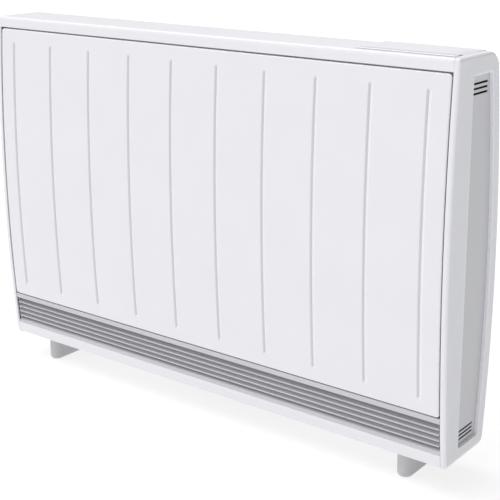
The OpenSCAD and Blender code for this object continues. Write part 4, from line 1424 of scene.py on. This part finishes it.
@dataclass(frozen=True)
class LouvreBlades:
    """The four louvre blades: curved vanes with round noses."""

    form: Form
    extent: Extent
    count: int = 4
    pitch: float = 10.3
    top_z: float = 120.0
    set_back: float = 1.8
    width: float = 14.0
    rise: float = 8.0
    thickness: float = 1.5
    nose: float = 2.3
    nose_run: float = 0.16
    camber: float = 0.7

    def section(self, z: float) -> tuple[Array, Array]:
        """A blade's section: a mean line that sags by the camber, half the thickness each way.

        The thickness falls from the nose's to the blade's as 2 to the power of minus (share of
        the blade's depth by nose_run) squared.

        Args:
            z: Height of the blade's front edge.

        Returns:
            The section's points (y, z) and their wear level, with wear and a painted highlight on
            the nose.
        """
        share = np.linspace(0, 1, 13)
        swell = (self.nose - self.thickness) * np.exp2(-(share / self.nose_run) ** 2)
        halves = (self.thickness + swell) / 2
        run = np.array([self.width - self.thickness, self.rise])
        start = np.array([float(self.form.front(z)) + self.set_back + halves[0], z - halves[0]])
        across = np.array([-run[1], run[0]]) / np.hypot(*run)
        sag = -self.camber * np.sin(math.pi * share)
        mean = start + share[:, None] * run + sag[:, None] * across
        lean = math.degrees(math.atan2(run[1], run[0]))
        nose = arc(mean[0], halves[0], lean + 90, lean + 270, 7)
        tail = arc(mean[-1], halves[-1], lean - 90, lean + 90, 5)
        offset = halves[1:-1, None] * across
        under, over = mean[1:-1] - offset, mean[1:-1] + offset
        points = np.vstack([nose, under, tail, over[::-1]])
        wear = np.zeros(len(points))
        # Wear and painted highlight on the nose.
        wear[:len(nose)] = np.sin(np.linspace(0, math.pi, len(nose)))
        tip = len(nose) // 2
        return np.roll(points, -tip, axis=0), np.roll(wear, -tip)

    def build(self) -> Solid:
        """Carries each blade's section across the outlet.

        Returns:
            The blades.
        """
        solid = Solid()
        for index in range(self.count):
            section, wear = self.section(self.top_z - index * self.pitch)
            solid.extrude(section, self.extent.low[0], self.extent.high[0], wear)
        return solid

    def make(self, bench: Bench) -> None:
        """Finishes the blades."""
        bench.finish(self.build(), "louvre_vanes", "louvre_blades")


@dataclass(frozen=True)
class Foot:
    """A moulded foot: an oval plan, with a rounded sole and a softened upper edge."""

    side: Side
    extent: Extent
    sole_r: float = 8.0
    pad_sink: float = 0.6
    pad_edge: float = 3.0
    seam: float = 0.5
    side_foot: float = 8.0
    rim: tuple[Pair, ...] = ((0.0, 1.2), (0.25, 0.3), (0.9, 0.0))
    side_gap: float = 6.0

    def plan(self, inset: float) -> Array:
        """The foot's plan: two half circles joined by straight sides, drawn in by an inset."""
        low, high = self.extent.low, self.extent.high
        radius = (high[0] - low[0]) / 2
        middle = (high[0] + low[0]) / 2
        r = radius - inset
        front, rear = low[1] + radius, high[1] - radius
        left, right = middle - r, middle + r
        first, last = front + self.side_gap, rear - self.side_gap
        return np.vstack([
            arc((middle, front), r, 180, 360, 20), line((right, first), (right, last), 5),
            arc((middle, rear), r, 0, 180, 20), line((left, last), (left, first), 5),
        ])

    def build(self) -> Solid:
        """Stacks the plan from the middle of the sole, round its edge and up the sides.

        A ring is the plan at an inset and a height. Round the sole's edge, at an angle a, they
        are sole_r times (1 - sin a) and sole_r times (1 - cos a).

        Returns:
            The foot.
        """
        low, high = self.extent.low, self.extent.high
        radius = (high[0] - low[0]) / 2
        turn = np.linspace(0, QUARTER, 9)
        heart, pad = radius - self.seam, radius - self.pad_edge
        sole = [(heart, self.pad_sink), (pad, self.pad_sink), (pad - self.pad_sink, 0.0)]
        bend = [(self.sole_r * (1 - math.sin(a)), self.sole_r * (1 - math.cos(a))) for a in turn]
        side = [(0.0, self.sole_r + self.side_foot),
                *((inset, high[2] - down) for inset, down in self.rim), (heart, high[2])]
        rings = [raised(self.plan(inset), low[2] + height) for inset, height in sole + bend + side]
        return Solid().loops(rings).close(rings[0]).close(rings[-1])

    def make(self, bench: Bench) -> None:
        """Finishes the foot."""
        name = self.side.name.lower()
        bench.finish(self.build(), f"{name}_foot_moulding", f"{name}_foot")


# ---- Controls ----


@dataclass(frozen=True)
class ControlLid:
    """The control lid: a folded moulding with a bead and valley along its front, a scallop in
    its left edge, a finger notch in its front corner, and three barrels on its hinge line."""

    extent: Extent
    fold: Fold = Fold(corner=1.7, radius=1.4, depth=4.4)
    wall: float = 1.6
    skirt_z: float = 723.5
    bead: Triple = (2.3, 2.2, 727.0)
    bead_blend: float = 0.15
    valley: tuple[Pair, ...] = (
        (0.0, 727.0), (3.0, 727.05), (4.0, 727.2), (6.0, 727.8), (12.0, 728.35), (21.0, 729.1),
        (30.0, 729.6), (40.0, 729.95), (58.0, 730.0), (82.0, 729.97), (91.0, 729.5),
        (95.0, 728.9), (99.0, 727.9))
    valley_back: float = 12.0
    valley_run: float = 5.5
    hinge: Triple = (123.0, 724.5, 3.5)
    pin_bore: float = 1.6
    pin_l: float = 16.0
    pin_spare: float = 0.5
    chamfer: float = 0.5
    ears: Pair = (342.0, 492.0)
    ear_gap: float = 5.0
    ear_clear: float = 4.4
    ear_run: float = 14.0
    ear_ease: float = 0.3
    scallop: Triple = (-7.0, 66.0, 16.0)
    notch: Triple = (6.0, 22.0, 11.0)
    blend: float = 0.6
    crown: Pair = (0.6, 2.3)
    crown_run: float = 15.0
    crown_back: float = 12.0
    crown_rear: Pair = (75.0, 95.0)
    crown_eased: float = 0.5
    bead_clear: float = 0.3
    # Spread of the painted highlight on the bead, and strength of the painted shade in the valley
    # and on the front edge.
    bead_highlight_run: float = 1.8
    valley_shade: float = 0.7
    front_shade: float = 0.7
    front_run: float = 0.6

    def top(self, back: Array) -> Array:
        """Height of the upper face, a smooth curve through the valley's points and over the bead.

        Args:
            back: Distance behind the lid's front edge.

        Returns:
            The height.
        """
        place, height = np.array(self.valley).T
        fine = np.linspace(place[0], place[-1], 400)
        window = np.hanning(13)
        level = np.interp(fine, place, height)
        padded = np.pad(level, len(window) // 2, mode="edge")
        soft = np.convolve(padded, window / window.sum(), mode="valid")
        middle, radius, base = self.bead
        rise = np.sqrt(np.maximum(radius ** 2 - (back - middle) ** 2, 0))
        return smooth_max(np.interp(back, fine, soft), base + rise, self.bead_blend)

    def bite(self, along: Array, circle: Triple) -> Array:
        """How far a round cut reaches into an edge.

        Args:
            along: Places along the edge.
            circle: The cut's centre off the edge, its centre along it, and its radius.

        Returns:
            The reach, rounded where the cut meets the edge.
        """
        off, middle, radius = circle
        half = np.sqrt(np.maximum(radius ** 2 - (along - middle) ** 2, 0))
        return smooth_max(half - abs(off), 0.0, self.blend) - self.blend / 2

    def build(self) -> Solid:
        """Folds the lid's sheet, then draws its edges in at the scallop, notch and hinge ears.

        The scallop and the notch draw in all the columns between them and the lid's middle in
        step. An ear's cut draws in the rows within ear_run of the rear edge. The crown falls
        within crown_run of both sides, and by crown_eased less along the hinge. Painted shade
        lies along the valley and on the front edge, and a painted highlight lies on the bead.

        Returns:
            The lid's outer skin.
        """
        low, high = self.extent.low, self.extent.high
        x0, x1, y0, y1 = low[0], high[0], low[1], self.hinge[0]
        half_x, half_y = (x1 - x0) / 2, (y1 - y0) / 2
        middle_x, middle_y = (x1 + x0) / 2, (y1 + y0) / 2
        ear = np.array(self.ears)[:, None] + np.linspace(-4, 4, 17) - middle_x
        columns = self.fold.coordinates(half_x, merged(spaced(-half_x, half_x, 8.0), ear.ravel()))
        front = np.array([1.7, 2.0, 2.3, 2.6, 2.9, 3.2, 3.6, 4.0, 4.5, 5.0, 6.0, 7.5, 9.0, 10.5])
        rows = self.fold.coordinates(half_y, merged(
            front - half_y, spaced(-half_y + 12, half_y, 1.7)))
        x, y, drop, wall, wear = self.fold.over(columns, rows, half_x, half_y)
        back = y + half_y
        left, right = self.bite(back, self.scallop), self.bite(back, self.notch)
        near = np.abs((x + middle_x)[..., None] - np.array(self.ears)).min(-1)
        gap = self.ear_gap / 2
        cut = self.ear_clear * (1 - smooth_step(near, gap - self.ear_ease, gap + self.ear_ease))
        pull = np.where(x < 0, left, right) / half_x
        x = middle_x + x * (1 - pull)
        y = middle_y + y - cut * np.clip(1 - (half_y - y) / self.ear_run, 0, 1)
        fall = smooth_step(np.abs(x - middle_x), half_x - self.crown_run, half_x)
        fall *= np.where(x < middle_x, *self.crown) * (back > self.crown_back)
        fall *= 1 - self.crown_eased * smooth_step(back, *self.crown_rear)
        top = np.maximum(self.top(back) - fall, self.bead[2] + self.bead_clear) - drop
        z = top * (1 - wall) + self.skirt_z * wall
        # Painted shade along the valley behind the bead and on the front edge; painted highlight
        # on the bead.
        valley = self.valley_shade * hump(back, self.valley_back, self.valley_run) * (wall == 0)
        bead = hump(back, self.bead[0], self.bead_highlight_run) * (wall == 0)
        worn_and_lit = np.maximum(bead, wear) - valley
        worn_and_lit = np.where(y < y0 + self.front_run, -self.front_shade, worn_and_lit)
        return Solid().grid(x, y, z, worn_and_lit)

    def barrels(self) -> Solid:
        """The hinge barrels between and beside the ears, with blind bores for the pins.

        Returns:
            The barrels.
        """
        y, z, radius = self.hinge
        gap, bore, chamfer = self.ear_gap / 2, self.pin_bore, self.chamfer
        deep = (self.pin_l - self.ear_gap) / 2 + self.pin_spare
        stops = [self.extent.low[0], self.ears[0] - gap, self.ears[0] + gap,
                 self.ears[1] - gap, self.ears[1] + gap, self.extent.high[0]]
        solid = Solid()
        for index, (start, end) in enumerate(zip(stops[::2], stops[1::2])):
            length = end - start
            near = [(0, deep), (bore, deep), (bore, 0)] if index else [(0, 0)]
            far = [(bore, length), (bore, length - deep), (0, length - deep)] if index < 2 else [
                (0, length)]
            profile = near + [(radius - chamfer, 0), (radius, chamfer), (radius, length - chamfer),
                              (radius - chamfer, length)] + far
            solid.lathe(profile, (start, y, z), (1, 0, 0), 40)
        return solid

    def make(self, bench: Bench) -> None:
        """Finishes the lid and its barrels."""
        bench.finish(self.build(), "control_lid_moulding", "control_lid", outward=(0, 0, 1),
                     thickness=self.wall, bevel=0.25)
        bench.finish(self.barrels(), "control_lid_barrels", "control_lid")


class Mark(Enum):
    """The plain signs on the push buttons, each with its button's node."""

    BARS = "button_menu"
    LEFT = "button_back"
    DOWN = "button_down"
    UP = "button_up"
    PLUS = "button_boost"


@dataclass(frozen=True)
class PushButton:
    """A round push button with a dished face and a small raised sign."""

    mark: Mark
    extent: Extent
    cap_r: float = 6.0
    flange_z: Pair = (1.7, 3.3)
    stem_r: float = 3.0
    edge: float = 0.9
    dish: float = 0.35
    mark_h: float = 0.22
    mark_half: float = 2.3
    bar_half: float = 0.45
    bar_pitch: float = 1.5
    sink: float = 0.1

    def outline(self) -> Array:
        """The sign's outline, centred on the button.

        Returns:
            Points (x, y), where y runs to the rear.
        """
        size, thin = self.mark_half, self.bar_half
        arrow = np.array([(-size, -size * 0.7), (size, -size * 0.7), (0.0, size)])
        bar = np.array([(-size, -thin), (size, -thin), (size, thin), (-size, thin)])
        shapes = {Mark.UP: arrow, Mark.DOWN: arrow * [1, -1], Mark.LEFT: arrow[:, ::-1] * [-1, 1],
                  Mark.BARS: bar, Mark.PLUS: bar}
        return shapes[self.mark]

    def build(self) -> Solid:
        """Turns the button and sets its sign on the dish.

        At a radius r the dish is dish times (1 - (r / its own radius) squared) deep.

        Returns:
            The button.
        """
        low, high = self.extent.low, self.extent.high
        x, y = (low[:2] + high[:2]) / 2
        top, flange_r = high[2], (high[0] - low[0]) / 2
        turn = np.linspace(0, QUARTER, 6)
        rim = [(self.cap_r - self.edge * (1 - math.cos(a)), top - self.edge * (1 - math.sin(a)))
               for a in turn]
        dished = [(r, top - self.dish * (1 - (r / (self.cap_r - self.edge)) ** 2))
                  for r in np.linspace(self.cap_r - self.edge, 0, 9)[1:]]
        base, flange = low[2] + self.flange_z[0], low[2] + self.flange_z[1]
        profile = [(0, low[2]), (self.stem_r, low[2]), (self.stem_r, base), (flange_r, base),
                   (flange_r, flange), (self.cap_r, flange)] + rim + dished
        solid = Solid().lathe([(r, z - low[2]) for r, z in profile], (x, y, low[2]), (0, 0, 1), 48)
        foot = top - self.dish - self.sink
        bars = (-self.bar_pitch, 0.0, self.bar_pitch)
        shifts = bars if self.mark is Mark.BARS else (0.0,)
        turns = (False, True) if self.mark is Mark.PLUS else (False,)
        for shift in shifts:
            for turned in turns:
                shape = self.outline()[:, ::-1] * [1, -1] if turned else self.outline()
                self._stud(solid, shape + [x, y + shift], foot)
        return solid

    def _stud(self, solid: Solid, shape: Array, foot: float) -> None:
        """Adds one raised figure with a flat top."""
        head = foot + self.sink + self.mark_h
        rings = [raised(shape, z) for z in (foot, head)]
        middle = [np.broadcast_to(ring.mean(axis=0), ring.shape) for ring in rings]
        solid.loops([middle[0], *rings, middle[1]])

    def make(self, bench: Bench) -> None:
        """Finishes the button."""
        bench.finish(self.build(), f"{self.mark.value}_cap", self.mark.value, crease=40.0)


# ---- Screws ----


@dataclass(frozen=True)
class PanScrew:
    """A pan-head screw with a cross recess."""

    shank_r: float
    head_r: float
    head_h: float
    recess: float = 0.9
    slot_edge: Pair = (0.3, 0.55)
    cross_end: Pair = (0.44, 0.58)
    dome: float = 0.94
    tip: float = 1.2

    def add(self, solid: Solid, seat: Sequence[float], out: Sequence[float],
            length: float) -> None:
        """Adds one screw.

        The head's height is a dome less the cross recess. The dome is head_h times root of
        (1 - (dome times the share of the radius) to the fourth). The recess fades out between
        the two distances of slot_edge from the nearer of two crossed lines, and between the two
        shares of the head's radius in cross_end.

        Args:
            solid: The solid that gets the screw.
            seat: The middle of the head's underside.
            out: The way the head faces.
            length: The shank's length under the head.
        """
        axis, side, other = axes(out)
        shank = self.shank_r
        solid.lathe([(0, -length), (shank * 0.5, -length), (shank, -length + self.tip),
                     (shank, 0.0), (0.0, 0.0)], seat, out, 16)
        share = np.array([0, 0.06, 0.12, 0.2, 0.28, 0.36, 0.44, 0.54, 0.68, 0.82, 0.92, 0.98, 1])
        angle = np.linspace(0, 2 * math.pi, 49)
        radius = (share * self.head_r)[:, None]
        u, v = radius * np.cos(angle), radius * np.sin(angle)
        dome = self.head_h * np.sqrt(np.maximum(1 - (share * self.dome) ** 4, 0))[:, None]
        line_off = np.minimum(np.abs(u), np.abs(v))
        reach = 1 - smooth_step(np.hypot(u, v) / self.head_r, *self.cross_end)
        cross = (1 - smooth_step(line_off, *self.slot_edge)) * reach
        height = np.minimum(dome - self.recess * cross, self.head_h)
        middle = np.asarray(seat, float)
        place = middle + u[..., None] * side + v[..., None] * other + height[..., None] * axis
        rim = middle + radius[-1] * (
            np.outer(np.cos(angle), side) + np.outer(np.sin(angle), other))
        place = np.concatenate([place, rim[None], np.broadcast_to(middle, rim.shape)[None]])
        solid.grid(*np.moveaxis(place, -1, 0))


@dataclass(frozen=True)
class Screws:
    """All the screws that hold the case, the caps, the brackets and the feet."""

    form: Form
    side_x: float = 509.0
    flange: float = 7.0
    rear_y: float = 146.6
    rear_z: tuple[float, ...] = (90.0, 300.0, 520.0)
    skirt_z: float = 670.0
    bracket_x: tuple[float, ...] = (336.0, 364.0)
    bracket_z: float = 572.0
    bracket_y: float = 148.7
    front_y: float = 20.5
    front_z: tuple[float, ...] = (190.0, 420.0, 650.0)
    foot_x: float = 431.0
    foot_y: Pair = (62.0, 112.0)
    foot_z: float = 50.8
    off: float = 0.1
    rear_l: float = 6.0
    skirt_l: float = 7.0
    bracket_l: float = 4.5
    front_l: float = 7.0
    cap_l: float = 8.0
    foot_l: float = 16.0

    def case(self) -> Solid:
        """The screws of the case, on both sides.

        Returns:
            The screws.
        """
        screw, solid = PanScrew(shank_r=1.9, head_r=3.6, head_h=1.8), Solid()
        x, seat_x = self.side_x - self.flange, self.side_x - self.form.sheet - self.off
        skirt_y, back, ahead = self.form.casing_back_y + self.off, (0, 1, 0), (0, -1, 0)
        for sign in (-1, 1):
            for z in self.rear_z:
                screw.add(solid, (sign * x, self.rear_y + self.off, z), back, self.rear_l)
            screw.add(solid, (sign * x, skirt_y, self.skirt_z), back, self.skirt_l)
            for across in self.bracket_x:
                seat = (sign * across, self.bracket_y + self.off, self.bracket_z)
                screw.add(solid, seat, back, self.bracket_l)
            for z in self.front_z:
                screw.add(solid, (sign * x, self.front_y - self.off, z), ahead, self.front_l)
            for y, z in CAP_POSTS:
                screw.add(solid, (sign * seat_x, y, z), (-sign, 0, 0), self.cap_l)
        return solid

    def feet(self) -> Solid:
        """The screws that hold the feet to the base.

        Returns:
            The screws.
        """
        screw, solid = PanScrew(shank_r=2.1, head_r=4.2, head_h=2.5), Solid()
        for sign in (-1, 1):
            for y in self.foot_y:
                seat = (sign * self.foot_x, y, self.foot_z + self.off)
                screw.add(solid, seat, (0, 0, 1), self.foot_l)
        return solid

    def make(self, bench: Bench) -> None:
        """Finishes both sets of screws."""
        bench.finish(self.case(), "case_pan_screws", "case_screws")
        bench.finish(self.feet(), "foot_pan_screws", "foot_screws")


# ---- Studio ----


@dataclass(frozen=True)
class Viewpoint:
    """The camera: its place in metres, its turn in degrees, its lens and film in millimetres."""

    place: Triple = (1.32617, -1.61952, 0.96508)
    azimuth: float = 37.0
    pitch: float = 14.153
    lens: float = 83.025
    sensor: float = 36.0
    shift: Pair = (-0.04, -0.13)

    def build(self) -> None:
        """Makes the camera and hands it to the scene."""
        turn, rise = math.radians(self.azimuth), math.radians(self.pitch)
        right = Vector((math.cos(turn), math.sin(turn), 0))
        back = Vector((math.sin(turn) * math.cos(rise), -math.cos(turn) * math.cos(rise),
                       math.sin(rise)))
        data = bpy.data.cameras.new("camera")
        data.lens = self.lens
        data.sensor_width = self.sensor
        data.shift_x, data.shift_y = self.shift
        camera = put("camera", data)
        facing = Matrix((right, back.cross(right), back)).transposed().to_4x4()
        camera.matrix_world = Matrix.Translation(self.place) @ facing
        bpy.context.scene.camera = camera


@dataclass(frozen=True)
class Studio:
    """A grey floor that glows a little, light from all round and one broad light from above."""

    floor_half: float = 30.0
    floor_colour: Colour = (0.3, 0.3, 0.302)
    floor_glow: float = 0.74
    sky: float = 0.25
    lean: float = 0.25
    ahead: float = 0.73
    behind: float = 0.45
    key: float = 2.2
    key_way: Triple = (-0.45, -0.1, 0.89)
    key_spread: float = 60.0

    def floor(self) -> None:
        """Lays the floor, with a faint unevenness of its paint."""
        graph = Graph(bpy.data.materials.new("floor_paint"))
        patches = graph.noise(600.0, 3.0)
        uneven = shade(self.floor_colour, 0.985)
        tint = graph.mix(patches.ramp(0.3, 0.7), self.floor_colour, uneven)
        graph.surface(base_color=tint, roughness=0.85, emission_color=(1.0, 1.0, 1.0),
                      emission_strength=self.floor_glow)
        mesh = bpy.data.meshes.new("floor")
        edge = np.linspace(-self.floor_half, self.floor_half, 13)
        x, y = np.meshgrid(edge, edge)
        points = np.column_stack([x.ravel(), y.ravel(), np.zeros(x.size)])
        mesh.from_pydata(points.tolist(), [], quads(*x.shape).reshape(-1, 4).tolist())
        mesh.materials.append(graph.owner)
        floor = put("floor", mesh)

    def sky_light(self) -> None:
        """Sets the light from all round, by the x and y of the way it comes from.

        It is sky, less lean times x, plus ahead times minus y or behind times y, whichever of
        the two isn't negative.
        """
        world = bpy.data.worlds.new("studio")
        graph = Graph(world)
        way = graph.add("ShaderNodeTexCoord", output="Generated")
        across = graph.add("ShaderNodeSeparateXYZ", inputs={0: way}, output="X")
        back = graph.add("ShaderNodeSeparateXYZ", inputs={0: way}, output="Y")
        glow = (abs(back) - back) * (self.ahead / 2)
        glow = glow + (abs(back) + back) * (self.behind / 2)
        graph.surface(color=(1.0, 1.0, 1.0), strength=self.sky - across * self.lean + glow)
        bpy.context.scene.world = world

    def key_light(self) -> None:
        """Adds the broad light from above, whose width in degrees softens its shadows."""
        data = bpy.data.lights.new("key", "SUN")
        data.energy = self.key
        data.angle = math.radians(self.key_spread)
        facing = Vector(self.key_way).to_track_quat("Z", "Y").to_matrix().to_4x4()
        put("key", data).matrix_world = facing

    def build(self) -> None:
        """Lays the floor and sets the lights."""
        self.floor()
        self.sky_light()
        self.key_light()
        bpy.context.scene.view_settings.view_transform = "Standard"


# ---- The whole heater ----


def finishes() -> dict[str, Finish]:
    """The finish of each of the record's material slots.

    Returns:
        A finish for each slot.
    """
    white = (0.797, 0.79, 0.829)
    display = Extent.of("display_window")
    middle = (display.low + display.high) / 2 * MM + [0.0, FRONT_LINE_Y, 0.0]
    board_top = 0.7057
    return {
        "white_paint": PowderCoat(white, 0.36),
        "white_moulding": Moulding((0.795, 0.8, 0.835), 0.34),
        # Darker than the white case: this grey stands in partly for the shade in the side windows'
        # recess.
        "side_plate_paint": PowderCoat((0.635, 0.64, 0.665), 0.42),
        "galvanised_steel": Galvanised((0.56, 0.57, 0.585), 0.34),
        # Near-black paint on the chassis sides: it stands in for the shade seen through the side
        # vents.
        "dark_primer": PowderCoat((0.03, 0.03, 0.032), 0.6),
        # A mid grey that stands in partly for the shade under the front panel, on light plastic.
        "grille_grey": Moulding((0.58, 0.58, 0.61), 0.42, dust=0.12),
        "foot_grey": Moulding((0.5, 0.5, 0.515), 0.5, grain=0.9, grain_depth=0.02),
        "screw_steel": Metal((0.5, 0.5, 0.49), 0.3),
        "bay_grey": Moulding((0.3, 0.3, 0.315), 0.46, grain=0.8, grain_depth=0.015),
        "window_black": DisplayGlass((0.012, 0.012, 0.014), 0.06,
                                     centre=tuple(float(value) for value in middle)),
        "board_green": CircuitBoard((0.015, 0.12, 0.05), 0.32, face=board_top),
        "button_white": Moulding((0.72, 0.72, 0.73), 0.36),
        "store_brick": FiredBrick((0.1, 0.065, 0.05), 0.85),
        "element_sheath": HeatTinted((0.2, 0.195, 0.19), 0.4),
        "insulation_board": FibreBoard((0.72, 0.62, 0.45), 0.93),
        "terminal_plastic": Moulding((0.7, 0.66, 0.56), 0.45),
        "black_plastic": Moulding((0.025, 0.025, 0.027), 0.42),
        "reset_red": Moulding((0.55, 0.02, 0.02), 0.38),
        "impeller_aluminium": Metal((0.7, 0.71, 0.72), 0.32, stained=0.05),
        "bearing_bronze": Metal((0.55, 0.36, 0.16), 0.4, stained=0.25),
        "wire_sleeve": Sleeving((0.04, 0.045, 0.05), 0.7),
    }


def main() -> None:
    """Dresses the frame, builds every new piece, and sets the camera, floor and light."""
    logging.basicConfig(level=logging.INFO, format="%(message)s")
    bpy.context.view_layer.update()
    Viewpoint().build()
    bench = Bench(finishes())
    bench.dress_nodes()
    form = Form()
    pieces = [
        FrontPanel(form),
        TopCasing(form, Extent.of("control_lid")),
        *(EndCap(form, side) for side in Side),
        BottomRail(form, Extent.of("bottom_rail")),
        OutletGrille(form, Extent.of("grille_frame")),
        LouvreBlades(form, Extent.of("louvre_blades")),
        *(Foot(side, Extent.of(f"{side.name.lower()}_foot")) for side in Side),
        ControlLid(Extent.of("control_lid")),
        *(PushButton(mark, Extent.of(mark.value)) for mark in Mark),
        Screws(form),
    ]
    for piece in pieces:
        piece.make(bench)
    Studio().build()


if __name__ == "__main__":
    main()
